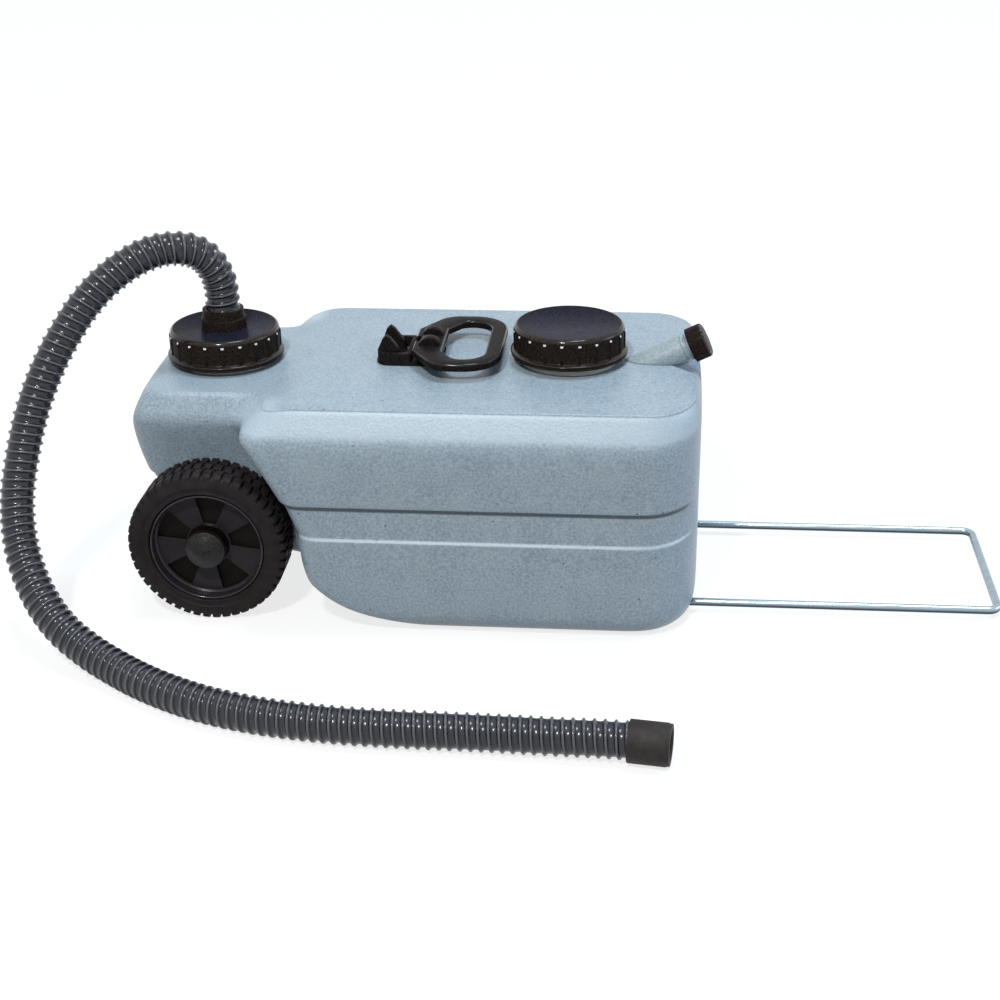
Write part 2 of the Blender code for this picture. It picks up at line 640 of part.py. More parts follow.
def hose(finish):
    """The ribbed drain hose, one unbroken tube with its bore, from its socket to its end cuff."""
    start = Vector((HOSE_CAP_X, 0, HOSE_CAP_TOP + SOCKET_TALL - SOCKET_DEEP + SEAT))
    end = Vector(HOSE_END)
    heading = Vector(HOSE_HEADING).normalized()
    route = [start, start + Vector((0, 0, 2 * HOSE_R))]
    route += [Vector(p) for p in HOSE_ROUTE]
    route += [end - heading * 2 * HOSE_R, end]
    points, length = smooth_curve(route, RIB_PITCH / 2)
    points[1].x, points[1].y = start.x, start.y
    radii = [HOSE_ROOT_R if i % 2 else HOSE_R for i in range(len(points))]
    piece = add_object("drain_hose", as_mesh(tube("ribbed_tube", points, radii)), finish)
    before, after = points[0] * 2 - points[1], points[-1] * 2 - points[-2]
    plain = [before, points[0]] + points[5:-5:5] + [points[-1], after]
    bore = tube("hose_bore", plain, [HOSE_BORE_R] * len(plain))
    combine(piece, add_object("hose_bore", as_mesh(bore)))
    least = min((a - b).length for i, a in enumerate(points) for b in points[i + 40:]) - 2 * HOSE_R
    print(f"hose length {length:.3f} m, {len(points)} points, least gap to itself {least * 1000:.1f} mm")
    return heading, end


def hose_cuff(finish, heading, end):
    """The rubber cuff over the hose's free end."""
    socket = HOSE_R + RUN
    back = -CUFF_LAP
    front = back + CUFF_L
    profile = [(socket, back), (CUFF_R - 0.0005, back), (CUFF_R, back + 0.0010), (CUFF_R, front),
               (HOSE_BORE_R, front), (HOSE_BORE_R, SEAT), (socket, SEAT)]
    cuff = add_object("hose_end_cuff", to_mesh(turned(profile, 24), "hose_end_cuff"), finish, at=end)
    cuff.rotation_euler = heading.to_track_quat("Z", "Y").to_euler()
    return cuff


# Wheels and axle

def wheel_parts(side_name, side, finishes):
    """One wheel: a rubber tyre on a spoked rim, held on the axle by a clip under a domed cap."""
    turn = (math.radians(90 * -side), 0, 0)
    middle = WHEEL_OUT - WHEEL_W / 2
    at = (WHEEL_X, side * middle, WHEEL_R)
    half = WHEEL_W / 2

    steps = LUGS * 2
    tread = [(WHEEL_R - 0.0010, -half + 0.0005), (WHEEL_R, -half + 0.0040), (WHEEL_R, -half * 0.12),
             (WHEEL_R, half * 0.50), (WHEEL_R - 0.0045, half - 0.0015)]
    profile = [(RIM_R + SEAT, -half + 0.004), (RIM_R + 0.0040, -half)] + tread
    profile += [(RIM_R + 0.0090, half), (RIM_R + 0.0040, half - 0.0012), (RIM_R + SEAT, half - 0.004)]
    bm = turned(profile, steps)
    for v in bm.verts:
        radius = math.hypot(v.co.x, v.co.y)
        if radius < WHEEL_R - 0.0050:
            continue
        step = round(math.atan2(v.co.y, v.co.x) / (2 * math.pi) * steps)
        row = 0 if v.co.z < -half * 0.3 else 1
        if (step + row) % 2:
            v.co.x *= (radius - TREAD_DEEP) / radius
            v.co.y *= (radius - TREAD_DEEP) / radius
    add_object(f"{side_name}_tyre", to_mesh(bm, "tyre"), finishes["tyre"], at=at, turn=turn)

    web_high = half - RIM_DISH
    web_low = web_high - WEB_T
    bore = AXLE_R + RUN
    profile = [(bore, -half + 0.0005), (HUB_R * 0.7, -half + 0.0005), (HUB_R * 0.8, web_low),
               (RIM_R - 0.0035, web_low), (RIM_R - 0.0030, -half + 0.004), (RIM_R, -half + 0.004),
               (RIM_R, half - 0.004), (RIM_R - 0.0020, half - 0.0025),
               (RIM_R - 0.0035, web_high), (HUB_R, web_high), (HUB_R, half), (bore, half)]
    rim = add_object(f"{side_name}_wheel_rim", to_mesh(turned(profile, 24), "wheel_rim"), finishes["rim"], at=at,
                     turn=turn)
    for k in range(SPOKES):
        inner, outer = HUB_R + 0.0020, RIM_R - 0.0050
        spread = math.pi / SPOKES * 0.50
        middle_turn = 2 * math.pi * (k + WINDOW_TURN) / SPOKES
        outline = [(r * math.cos(middle_turn + a), r * math.sin(middle_turn + a)) for r, a in (
            (inner, -spread * 0.92), (outer, -spread), (outer, -spread / 3), (outer, spread / 3),
            (outer, spread), (inner, spread * 0.92))]
        recess = prism(outline, web_high - WINDOW_DEEP, web_high + 0.01)
        tool = add_object(f"{side_name}_window_{k}", to_mesh(recess, "window"))
        tool.parent = rim
        combine(rim, tool)

    inward = NOSE_HALF_W + SEAT
    spacer = WHEEL_OUT - WHEEL_W + 0.0005 - SEAT - inward
    washer(f"{side_name}_spacer", bore, SPACER_R, spacer, finishes["rim"], (WHEEL_X, side * inward, WHEEL_R), turn, 16)
    out = WHEEL_OUT + SEAT
    washer(f"{side_name}_axle_clip", AXLE_R + 0.0001, CLIP_R, CLIP_T, finishes["zinc"],
           (WHEEL_X, side * out, WHEEL_R), turn, 16)
    roof = 0.0018
    profile = [(0, HUB_CAP_H - roof), (CLIP_R + 0.0008, HUB_CAP_H - roof - 0.0015), (CLIP_R + 0.0008, 0),
               (HUB_CAP_R, 0), (HUB_CAP_R, HUB_CAP_H * 0.45), (HUB_CAP_R * 0.80, HUB_CAP_H * 0.85),
               (HUB_CAP_R * 0.45, HUB_CAP_H), (0, HUB_CAP_H)]
    add_object(f"{side_name}_hub_cap", to_mesh(turned(profile, 20, closed=False), "hub_cap"), finishes["hub"],
               at=(WHEEL_X, side * out, WHEEL_R), turn=turn)


def axle(finish):
    half = WHEEL_OUT + SEAT + CLIP_T + 0.0020
    return add_object("axle", to_mesh(rod(AXLE_R, -half, half, 16, axle_turn()), "axle"), finish,
                      at=(WHEEL_X, 0, WHEEL_R))


# Pull handle

def pull_handle(finish):
    """A U of round wire, its legs under the tank."""
    near = HANDLE_X - HANDLE_BEND
    half = HANDLE_Y - HANDLE_BEND
    turn = arc(near, half, HANDLE_BEND, HANDLE_BEND, 90, 0, 6)
    points = [(leg_end(), HANDLE_Y)] + turn
    points += [(x, -y) for x, y in reversed(points)]
    places = [Vector((x - HANDLE_X, y, 0)) for x, y in points]
    wire = tube("pull_handle", places, [WIRE_R] * len(places), 3)
    wire.location = (HANDLE_X, 0, HANDLE_Z)
    wire.data.materials.append(finish)


def handle_fittings(finishes):
    turn = (0, math.radians(90), 0)
    for name, side in WHEEL_SIDES.items():
        y = side * HANDLE_Y
        washer(f"{name}_leg_stop", WIRE_R + 0.0001, STOP_R, STOP_L, finishes["zinc"], (leg_end(), y, HANDLE_Z), turn, 16)
        for place, x in (("outer", GUIDE_OUTER_X), ("inner", GUIDE_INNER_X)):
            low = (-GUIDE_L / 2, -GUIDE_W / 2, -GUIDE_H / 2)
            high = (GUIDE_L / 2, GUIDE_W / 2, GUIDE_H / 2)
            guide = add_object(f"{name}_{place}_guide", to_mesh(box(low, high), "guide"), finishes["black"],
                               at=(x, y, HANDLE_Z))
            bore = rod(WIRE_R + RUN, -GUIDE_L, GUIDE_L, 12, Matrix.Rotation(math.radians(90), 4, "Y"))
            bore = add_object(f"{name}_{place}_guide_bore", to_mesh(bore, "guide_bore"))
            bore.parent = guide
            combine(guide, bore)


# Carry grip

def joined(obj, name, bm, operation="UNION", at=(0, 0, 0), parent=None):
    """Adds a form to a piece, or cuts it out."""
    tool = add_object(name, to_mesh(bm, name), at=at)
    tool.parent = parent
    return combine(obj, tool, operation)


def horn_form(side, low):
    """A pointed cradle horn, standing across the base."""
    left = BASE_X + 0.002
    outline = [(left, low), (BASE_X + HORN_L, low), (BASE_X + HORN_L, DECK_Z + BASE_WALL_H - 0.001),
               (BASE_X + HORN_L * 0.60, DECK_Z + HORN_H - 0.003), (BASE_X + HORN_L * 0.42, DECK_Z + HORN_H),
               (BASE_X + HORN_L * 0.28, DECK_Z + HORN_H - 0.003), (left, DECK_Z + BASE_WALL_H)]
    bm = prism([(x, -z) for x, z in outline], -HORN_T / 2, HORN_T / 2)
    bmesh.ops.rotate(bm, verts=bm.verts, cent=(0, 0, 0), matrix=Matrix.Rotation(math.radians(-90), 3, "X"))
    bmesh.ops.translate(bm, verts=bm.verts, vec=(0, side * HORN_Y, 0))
    return bm


def oblong(left, right, half, left_round, right_round):
    """A rounded oblong outline."""
    return rounded([(left, -half, left_round), (right, -half, right_round),
                    (right, half, right_round), (left, half, left_round)], 4)


def grip_base(finish):
    """The base on the deck: a foot, a low wall round a tray, two cradle horns, a lug and a rest rib."""
    low = DECK_Z + SEAT
    sunk = low + BASE_T / 2
    pin_z = DECK_Z + GRIP_RISE
    foot = oblong(BASE_X, BASE_END, BASE_HALF_W, 0.014, 0.010)
    base = add_object("grip_base", to_mesh(prism(foot, low, low + BASE_T), "grip_base"), finish)

    wall_end = GRIP_X - math.hypot(LOOP_BACK, LOOP_T / 2) - GRIP_CLEAR
    block = oblong(BASE_X + 0.001, wall_end, BASE_HALF_W - 0.001, 0.013, 0.003)
    joined(base, "grip_wall", prism(block, sunk, DECK_Z + BASE_WALL_H))
    tray = oblong(BASE_X + 0.007, wall_end - 0.004, BASE_HALF_W - 0.006, 0.008, 0.003)
    joined(base, "grip_tray", prism(tray, low + BASE_T, DECK_Z + BASE_WALL_H + 0.01), "DIFFERENCE")
    for side in (-1, 1):
        joined(base, f"horn_{side}", horn_form(side, sunk))
    rest = box((GRIP_X + REST_X, -BASE_HALF_W + 0.006, sunk),
               (GRIP_X + REST_X + REST_W, BASE_HALF_W - 0.006, pin_z - LOOP_T / 2 - SEAT))
    joined(base, "grip_rest", rest)
    joined(base, "grip_lug", rod(LUG_R, -LUG_HALF_W, LUG_HALF_W, 20, axle_turn()), at=(GRIP_X, 0, pin_z))
    web = box((GRIP_X - LUG_R, -LUG_HALF_W, sunk), (GRIP_X + LUG_R, LUG_HALF_W, pin_z))
    joined(base, "grip_web", web)
    hole = rod(PIN_R + RUN, -PIN_HALF_L * 2, PIN_HALF_L * 2, 16, axle_turn())
    joined(base, "grip_pin_hole", hole, "DIFFERENCE", at=(GRIP_X, 0, pin_z))
    return pin_z


def grip_loop(finish, pin_z):
    """The carrying loop, a rounded ring with a narrow end on the hinge pin."""
    back, far, half, bar = LOOP_BACK, LOOP_REACH, LOOP_HALF_W, LOOP_BAR
    side = [(-back, LOOP_BACK_HALF_W, 0.005), (0.014, half, 0.026), (far, half, 0.036)]
    outer = rounded([(x, -y, r) for x, y, r in side] + list(reversed(side)), 5)
    loop = add_object("grip_loop", to_mesh(prism(outer, -LOOP_T / 2, LOOP_T / 2), "grip_loop"), finish,
                      at=(GRIP_X, 0, pin_z))
    side = [(HOLE_START, half - bar - 0.0215, 0.005), (HOLE_START + 0.014, half - bar, 0.012), (far - bar, half - bar, 0.020)]
    inner = rounded([(x, -y, r) for x, y, r in side] + list(reversed(side)), 4)
    joined(loop, "loop_hole", prism(inner, -LOOP_T, LOOP_T), "DIFFERENCE", parent=loop)
    rounding = loop.modifiers.new("edge_rounding", "BEVEL")
    rounding.width = 0.0020
    rounding.segments = 1
    rounding.limit_method = "ANGLE"
    rounding.angle_limit = math.radians(50)
    for name, y in (("front_arch", -ARCH_IN), ("rear_arch", ARCH_IN + ARCH_W)):
        bow = [(x, -z) for x, z in arc(ARCH_X, ARCH_RISE - ARCH_R, ARCH_R, ARCH_R, 8, 172, 8)]
        bm = prism(bow, -ARCH_W, 0)
        bmesh.ops.rotate(bm, verts=bm.verts, cent=(0, 0, 0), matrix=Matrix.Rotation(math.radians(-90), 3, "X"))
        bmesh.ops.translate(bm, verts=bm.verts, vec=(0, y, 0))
        joined(loop, name, bm, parent=loop)
    gap = LUG_R + GRIP_CLEAR
    middle = box((-back - 0.01, -LUG_HALF_W - RUN, -ARCH_R), (gap, LUG_HALF_W + RUN, ARCH_R))
    joined(loop, "loop_middle", middle, "DIFFERENCE", parent=loop)
    pin_hole = rod(PIN_R + RUN, -PIN_HALF_L - RUN, PIN_HALF_L + RUN, 16, axle_turn())
    joined(loop, "loop_pin_hole", pin_hole, "DIFFERENCE", parent=loop)
    return loop


def grip_fasteners(finishes, pin_z):
    pin = rod(PIN_R, -PIN_HALF_L, PIN_HALF_L, 16, axle_turn())
    add_object("grip_pin", to_mesh(pin, "grip_pin"), finishes["zinc"], at=(GRIP_X, 0, pin_z))
    floor = DECK_Z + SEAT + BASE_T + SEAT
    for name, side in WHEEL_SIDES.items():
        head = turned([(0, 0), (SCREW_R, 0), (SCREW_R, SCREW_HEAD_H * 0.4), (SCREW_R * 0.6, SCREW_HEAD_H),
                       (0, SCREW_HEAD_H)], 12, closed=False)
        add_object(f"{name}_grip_screw", to_mesh(head, "grip_screw"), finishes["zinc"],
                   at=(BASE_X + HORN_L + SCREW_R + 0.0005, side * HORN_Y, floor))


def build():
    clear_scene()
    finishes = {
        "tank": material("blue_grey_polyethylene", (0.42, 0.51, 0.57), 0.55),
        "cap": material("black_cap_plastic", (0.018, 0.018, 0.024), 0.50),
        "black": material("black_grip_plastic", (0.022, 0.018, 0.020), 0.42),
        "hose": material("charcoal_hose", (0.045, 0.042, 0.055), 0.35),
        "rubber": material("black_rubber", (0.020, 0.015, 0.014), 0.70),
        "tyre": material("tyre_rubber", (0.022, 0.017, 0.016), 0.75),
        "rim": material("black_rim_plastic", (0.030, 0.026, 0.032), 0.50),
        "hub": material("hub_cap_plastic", (0.018, 0.016, 0.018), 0.40),
        "zinc": material("bright_zinc", (0.75, 0.78, 0.82), 0.22, 1.0),
    }
    tank_shell(finishes["tank"])

    fluted_cap("blank_cap", BLANK_CAP_TOP, 0.0, finishes["cap"], BLANK_CAP_X)
    seal_in, seal_out = NECK_R - NECK_WALL, NECK_R + 0.0006
    washer("blank_cap_seal", seal_in, seal_out, SEAL_T, finishes["rubber"], (BLANK_CAP_X, 0, BLANK_NECK_TOP + SEAT))
    hole = HOSE_R + RUN + SOCKET_WALL + RUN
    fluted_cap("hose_cap", HOSE_CAP_TOP, hole, finishes["cap"], HOSE_CAP_X)
    washer("hose_cap_seal", seal_in, seal_out, SEAL_T, finishes["rubber"], (HOSE_CAP_X, 0, HOSE_NECK_TOP + SEAT))
    hose_spigot(finishes["black"])
    heading, end = hose(finishes["hose"])
    hose_cuff(finishes["rubber"], heading, end)

    spout_cap(finishes["cap"])
    bm = rod(SPOUT_R, SEAT, SEAT + SPOUT_SEAL_T, 24)
    add_object("spout_cap_seal", to_mesh(bm, "spout_cap_seal"), finishes["rubber"], at=SPOUT_MOUTH, turn=SPOUT_TURN)

    axle(finishes["zinc"])
    for name, side in WHEEL_SIDES.items():
        wheel_parts(name, side, finishes)

    pull_handle(finishes["zinc"])
    handle_fittings(finishes)

    pin_z = grip_base(finishes["black"])
    grip_loop(finishes["black"], pin_z)
    grip_fasteners(finishes, pin_z)

    frame = bpy.data.objects.new("flat_base_frame", None)
    bpy.context.scene.collection.objects.link(frame)
    frame.location = (-FLAT_BASE_X, 0, 0)
    for obj in bpy.data.objects:
        if obj.parent is None and obj is not frame:
            obj.parent = frame


build()
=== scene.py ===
# %% [markdown]
# # A portable waste water tank
#
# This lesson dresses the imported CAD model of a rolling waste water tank. The tank is blow-moulded
# in blue-grey polyethylene. It has two wheels, a ribbed drain hose, two wide screw caps, a pouring
# spout, a folding carry grip and a wire pull handle. The CAD model says where each piece is. Here
# each piece gets its finer form and its finish.

# %% Load the frame
import json
import math

import bmesh
import bpy
from mathutils import Matrix, Vector

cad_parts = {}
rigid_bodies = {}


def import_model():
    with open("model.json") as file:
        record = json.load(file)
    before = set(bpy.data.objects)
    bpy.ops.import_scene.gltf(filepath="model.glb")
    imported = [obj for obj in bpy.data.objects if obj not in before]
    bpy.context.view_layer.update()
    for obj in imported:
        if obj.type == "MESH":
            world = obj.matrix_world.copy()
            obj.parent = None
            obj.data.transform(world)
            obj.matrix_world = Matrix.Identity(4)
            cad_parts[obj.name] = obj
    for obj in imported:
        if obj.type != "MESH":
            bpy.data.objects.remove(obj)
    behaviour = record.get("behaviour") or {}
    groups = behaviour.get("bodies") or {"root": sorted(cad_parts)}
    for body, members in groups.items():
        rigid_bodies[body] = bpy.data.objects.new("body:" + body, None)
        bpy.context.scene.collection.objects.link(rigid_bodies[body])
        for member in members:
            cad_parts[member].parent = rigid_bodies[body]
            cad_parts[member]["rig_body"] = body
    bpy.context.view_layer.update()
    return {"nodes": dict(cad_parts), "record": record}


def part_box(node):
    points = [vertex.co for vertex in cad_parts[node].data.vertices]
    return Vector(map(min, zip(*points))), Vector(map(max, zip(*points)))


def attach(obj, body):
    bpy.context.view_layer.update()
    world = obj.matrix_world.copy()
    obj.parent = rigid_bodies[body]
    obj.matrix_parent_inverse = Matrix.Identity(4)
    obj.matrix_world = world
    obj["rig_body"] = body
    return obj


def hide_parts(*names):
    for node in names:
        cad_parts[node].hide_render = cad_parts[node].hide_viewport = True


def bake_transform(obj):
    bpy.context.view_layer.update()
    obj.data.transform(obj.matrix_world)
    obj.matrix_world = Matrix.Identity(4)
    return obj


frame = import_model()
print("nodes:", len(frame["nodes"]))

# %% [markdown]
# ## New objects
#
# Blender keeps a shape's data apart from the object that stands in the scene. `add_object` makes
# the object for some data. `plain_object` makes one from a bmesh, the form that is easy to edit.


# %% New objects
def add_object(name, data):
    obj = bpy.data.objects.new(name, data)
    bpy.context.scene.collection.objects.link(obj)
    return obj


def plain_object(name, bm):
    mesh = bpy.data.meshes.new(name)
    bm.to_mesh(mesh)
    bm.free()
    return add_object(name, mesh)


print("object helpers ready")

# %% [markdown]
# ## Camera
#
# A camera is given by where it stands, where it looks and how long its lens is. Yaw, pitch and roll
# are easy to read, so the three axes of the camera are worked out from them. The lens is written as
# the focal length in pixels of a square picture, which turns into millimetres on a 36 mm sensor.

# %% Camera
EYE = Vector((0.0960, -1.6110, 0.8345))
YAW, PITCH, ROLL = 0.0949, 0.4390, -0.0154
FOCAL_PIXELS = 1733.55
PICTURE_PIXELS = 1000
SENSOR = 36.0

ahead = Vector((-math.sin(YAW) * math.cos(PITCH), math.cos(YAW) * math.cos(PITCH),
                -math.sin(PITCH)))
level = Vector((math.cos(YAW), math.sin(YAW), 0.0))
upright = level.cross(ahead)
right = level * math.cos(ROLL) + upright * math.sin(ROLL)
up = upright * math.cos(ROLL) - level * math.sin(ROLL)

lens = bpy.data.cameras.new("camera")
lens.sensor_width = SENSOR
lens.lens = FOCAL_PIXELS * SENSOR / PICTURE_PIXELS
lens.clip_end = 60.0
camera = add_object("camera", lens)
camera.matrix_world = Matrix.Translation(EYE) @ Matrix((right, up, -ahead)).transposed().to_4x4()
bpy.context.scene.camera = camera
print(f"lens {lens.lens:.1f} mm, camera {EYE.z * 1000:.0f} mm above the floor")

# %% [markdown]
# ## Finishes as sums
#
# A material in Blender is a graph of nodes. Long graphs read badly as code, so one small class
# wraps a socket and lets it be used in an ordinary sum: each operator adds one Math node. `Graph`
# holds a tree of nodes and has one method that adds any node, and `Finish` is the graph of a
# material. What varies over a surface only feeds the colour, the roughness, the bump or the coat.
# Everything else is set as a plain number.

# %% Helpers for finishes
COAT_ROUGHNESS, COAT_IOR = 0.13, 1.3


class Wire:
    """A socket that can be used in sums. Each operator adds a Math node."""

    def __init__(self, graph, socket):
        self.graph = graph
        self.socket = socket

    def __add__(self, other):
        return self.graph.worked("ADD", self, other)

    def __sub__(self, other):
        return self.graph.worked("SUBTRACT", self, other)

    def __rsub__(self, other):
        return self.graph.worked("SUBTRACT", other, self)

    def __mul__(self, other):
        return self.graph.worked("MULTIPLY", self, other)

    def __pow__(self, other):
        return self.graph.worked("POWER", self, other)

    def __abs__(self):
        return self.graph.worked("ABSOLUTE", self)

    def larger(self, other):
        return self.graph.worked("MAXIMUM", self, other)

    def step(self, zero, one):
        """0 where the value is at zero or beyond it, 1 where it is at one or beyond that."""
        sockets = {"Value": self, "From Min": zero, "From Max": one}
        return self.graph.node("ShaderNodeMapRange", {"clamp": True}, sockets)

    def near(self, target, inner, outer):
        """1 where the value is within inner of the target, 0 where it is further than outer."""
        return abs(self - target).step(outer, inner)

    def blend(self, first, second):
        """Mixes two colours. The first one shows where the value is 0."""
        sockets = {0: self, 6: first, 7: second}
        return self.graph.node("ShaderNodeMix", {"data_type": "RGBA"}, sockets, 2)

    def bump(self, depth, under=None):
        """A bump as high as the value, in units of depth metres, over another bump or none."""
        sockets = {"Height": self, "Strength": 1.0, "Distance": depth}
        if under:
            sockets["Normal"] = under
        return self.graph.node("ShaderNodeBump", inputs=sockets)

    __radd__ = __add__
    __rmul__ = __mul__


class Graph:
    """A tree of nodes, with one method that adds any node to it."""

    def __init__(self, owner):
        owner.use_nodes = True
        self.tree = owner.node_tree

    def put(self, socket, value):
        """Links a wire to a socket, or sets the socket to a plain value."""
        if isinstance(value, Wire):
            self.tree.links.new(value.socket, socket)
        elif isinstance(value, tuple) and len(value) == 3 and len(socket.default_value) == 4:
            socket.default_value = (*value, 1.0)
        else:
            socket.default_value = value

    def node(self, kind, settings=None, inputs=(), output=0):
        """Adds a node: its settings first, then the values or links of its sockets."""
        made = self.tree.nodes.new(kind)
        for name, value in (settings or {}).items():
            setattr(made, name, value)
        pairs = inputs.items() if isinstance(inputs, dict) else enumerate(inputs)
        for key, value in pairs:
            self.put(made.inputs[key], value)
        return Wire(self, made.outputs[output])

    def worked(self, operation, *values):
        return self.node("ShaderNodeMath", {"operation": operation}, values)


class Finish(Graph):
    """A Principled material whose colour, roughness, bump and coat can vary."""

    def __init__(self, name, specular=0.5, metallic=0.0):
        self.material = bpy.data.materials.new(name)
        super().__init__(self.material)
        self.shader = self.tree.nodes["Principled BSDF"]
        self.shader.inputs["Metallic"].default_value = metallic
        self.shader.inputs["Specular IOR Level"].default_value = specular
        self.shader.inputs["Coat Roughness"].default_value = COAT_ROUGHNESS
        self.shader.inputs["Coat IOR"].default_value = COAT_IOR

    def place(self):
        return self.node("ShaderNodeTexCoord", output="Object")

    def axis(self, number):
        """One coordinate of the place: 0 is X, 1 is Y and 2 is Z."""
        return self.node("ShaderNodeSeparateXYZ", inputs=(self.place(),), output=number)

    def grain(self, scale, detail=2.0, stretch=None):
        """Noise from 0 to 1, its features about one over scale metres wide."""
        where = self.place()
        if stretch:
            where = self.node("ShaderNodeMapping", inputs={"Vector": where, "Scale": stretch})
        sockets = {"Vector": where, "Scale": scale, "Detail": detail}
        return self.node("ShaderNodeTexNoise", inputs=sockets)

    def spots(self, scale, size):
        """1 inside small round spots, 0 elsewhere."""
        away = self.node("ShaderNodeTexVoronoi", inputs={"Vector": self.place(), "Scale": scale})
        return away.step(size, size * 0.6)

    def stored(self, name):
        """A number stored on the mesh. It is 0 where none is stored."""
        return self.node("ShaderNodeAttribute", {"attribute_name": name}, output="Fac")

    def wear(self, colour, roughness, normal, coat=0.0):
        """Gives the shader its looks."""
        looks = {"Base Color": colour, "Roughness": roughness, "Normal": normal,
                 "Coat Weight": coat}
        for name, value in looks.items():
            self.put(self.shader.inputs[name], value)


print("finish helpers ready")

# %% [markdown]
# ## Floor, light and sky
#
# The object stands on a plain pale floor in a soft studio light. A soft sun from above and behind
# gives the deck its brightness and throws the shadows towards us. A lamp in front brightens the
# sloping shoulders, and a weak blue one on the right tints the end wall. For the camera, and for
# rays that mirror surfaces send out, sky and floor are white. A glow is mixed over most of the
# floor, and the rest is its own surface, which still takes the shadow. Rays that carry light from
# the floor to the object find it a little darker, as a real grey studio floor is.

# %% Floor, light and sky
FLOOR_SIZE = 40.0
WHITE = (1.0, 1.0, 1.0)
PALE = (0.44, 0.43, 0.41)
GLOW, GLOW_SHARE = 1.10, 0.71


def seen_by_camera(graph):
    """1 for camera, glossy and transmission rays, 0 for the others."""
    camera, glossy, through = (graph.node("ShaderNodeLightPath", output=f"Is {kind} Ray")
                               for kind in ("Camera", "Glossy", "Transmission"))
    return camera.larger(glossy).larger(through)


def mixed_surface(graph, share, first, second, end):
    """Mixes two shaders and leads them to the end of the graph."""
    mixed = graph.node("ShaderNodeMixShader", inputs=(share, first, second))
    graph.put(graph.tree.nodes.new(end).inputs["Surface"], mixed)


def white_floor():
    made = bpy.data.materials.new("pale_floor")
    graph = Graph(made)
    graph.tree.nodes.clear()
    seen = seen_by_camera(graph)
    own = graph.node("ShaderNodeBsdfDiffuse", inputs={"Color": seen.blend(PALE, WHITE)})
    glow = graph.node("ShaderNodeEmission", inputs={"Color": WHITE, "Strength": GLOW})
    mixed_surface(graph, seen * GLOW_SHARE, own, glow, "ShaderNodeOutputMaterial")
    return made


def soft_sky(colour, strength):
    world = bpy.data.worlds.new("studio")
    graph = Graph(world)
    graph.tree.nodes.clear()
    lit = graph.node("ShaderNodeBackground", inputs={"Color": colour, "Strength": strength})
    plain = graph.node("ShaderNodeBackground", inputs={"Color": WHITE})
    mixed_surface(graph, seen_by_camera(graph), lit, plain, "ShaderNodeOutputWorld")
    bpy.context.scene.world = world


def lamp_object(name, kind, at, towards, settings):
    """A lamp of some kind, aimed from one point towards another."""
    lamp = bpy.data.lights.new(name, kind)
    for key, value in settings.items():
        setattr(lamp, key, value)
    way = Vector(towards) - Vector(at)
    aim = way.to_track_quat("-Z", "Y").to_matrix().to_4x4()
    add_object(name, lamp).matrix_world = Matrix.Translation(at) @ aim
    print(f"{name}: {kind.lower()} light, {lamp.energy:.1f}")


sheet = bmesh.new()
bmesh.ops.create_grid(sheet, x_segments=1, y_segments=1, size=FLOOR_SIZE / 2)
floor = plain_object("floor", sheet)
floor.data.materials.append(white_floor())

soft_sky((0.86, 0.95, 1.10), 0.30)
lamp_object("high_light", "SUN", (0.30, 0.22, 2.4), (0.0, 0.0, 0.1),
            {"energy": 1.55, "angle": math.radians(16), "color": (0.80, 0.93, 1.0)})
lamp_object("front_light", "AREA", (-0.5, -2.05, 2.60), (0.0, 0.0, 0.15),
            {"energy": 56.0, "shape": "DISK", "size": 0.26, "color": (1.0, 0.99, 0.96)})
lamp_object("side_light", "AREA", (1.9, 0.15, 0.85), (0.15, 0.0, 0.14),
            {"energy": 9.0, "shape": "DISK", "size": 1.0, "color": (0.55, 0.72, 1.0)})
bpy.context.scene.view_settings.view_transform = "Standard"

# %% [markdown]
# ## Helpers for forms
#
# Most pieces are round, so `lathe` spins a profile about an axis. `soften` bevels every sharp edge,
# because no moulded or bent piece has a perfectly sharp one, and the small roundings are what
# catches the light. `finished` turns a form into an object that rides on its CAD body.


# %% Helpers for forms
SIDES = {"front": -1, "rear": 1}        # on which side of the middle each one lies
MIDDLE = Vector((-0.1330, 0.0, 0.0))    # the tank's middle, from the origin under its flat base


def merge(bm, distance=1e-6):
    """Joins points that lie in one place."""
    bmesh.ops.remove_doubles(bm, verts=bm.verts, dist=distance)


def outward(bm):
    """Makes every face look outwards."""
    bmesh.ops.recalc_face_normals(bm, faces=bm.faces)
    return bm


def edge_ring(bm, points):
    """One closed ring of points and its edges."""
    verts = [bm.verts.new(point) for point in points]
    return verts, [bm.edges.new(pair) for pair in zip(verts, verts[1:] + verts[:1])]


def lathe(profile, steps, closed=True):
    """Spins (radius, height) points about Z. An open profile starts and ends on the axis."""
    bm = bmesh.new()
    ring = [bm.verts.new((r, 0.0, z)) for r, z in profile]
    pairs = list(zip(ring, ring[1:]))
    if closed:
        pairs.append((ring[-1], ring[0]))
    edges = [bm.edges.new(pair) for pair in pairs]
    bmesh.ops.spin(bm, geom=ring + edges, axis=(0, 0, 1), angle=2 * math.pi, steps=steps,
                   use_merge=True)
    merge(bm)
    return outward(bm)


def extruded(bm, faces, keep=False):
    """Extrudes faces as one patch, and gives back the points of the new patch."""
    grown = bmesh.ops.extrude_face_region(bm, geom=faces, use_keep_orig=keep)
    return [v for v in grown["geom"] if isinstance(v, bmesh.types.BMVert)]


def plate(outline, low, high):
    """Extrudes a flat outline of (x, y) points from one height to another."""
    bm = bmesh.new()
    face = bm.faces.new([bm.verts.new((x, y, low)) for x, y in outline])
    tops = extruded(bm, [face])
    bmesh.ops.translate(bm, verts=tops, vec=(0, 0, high - low))
    return outward(bm)


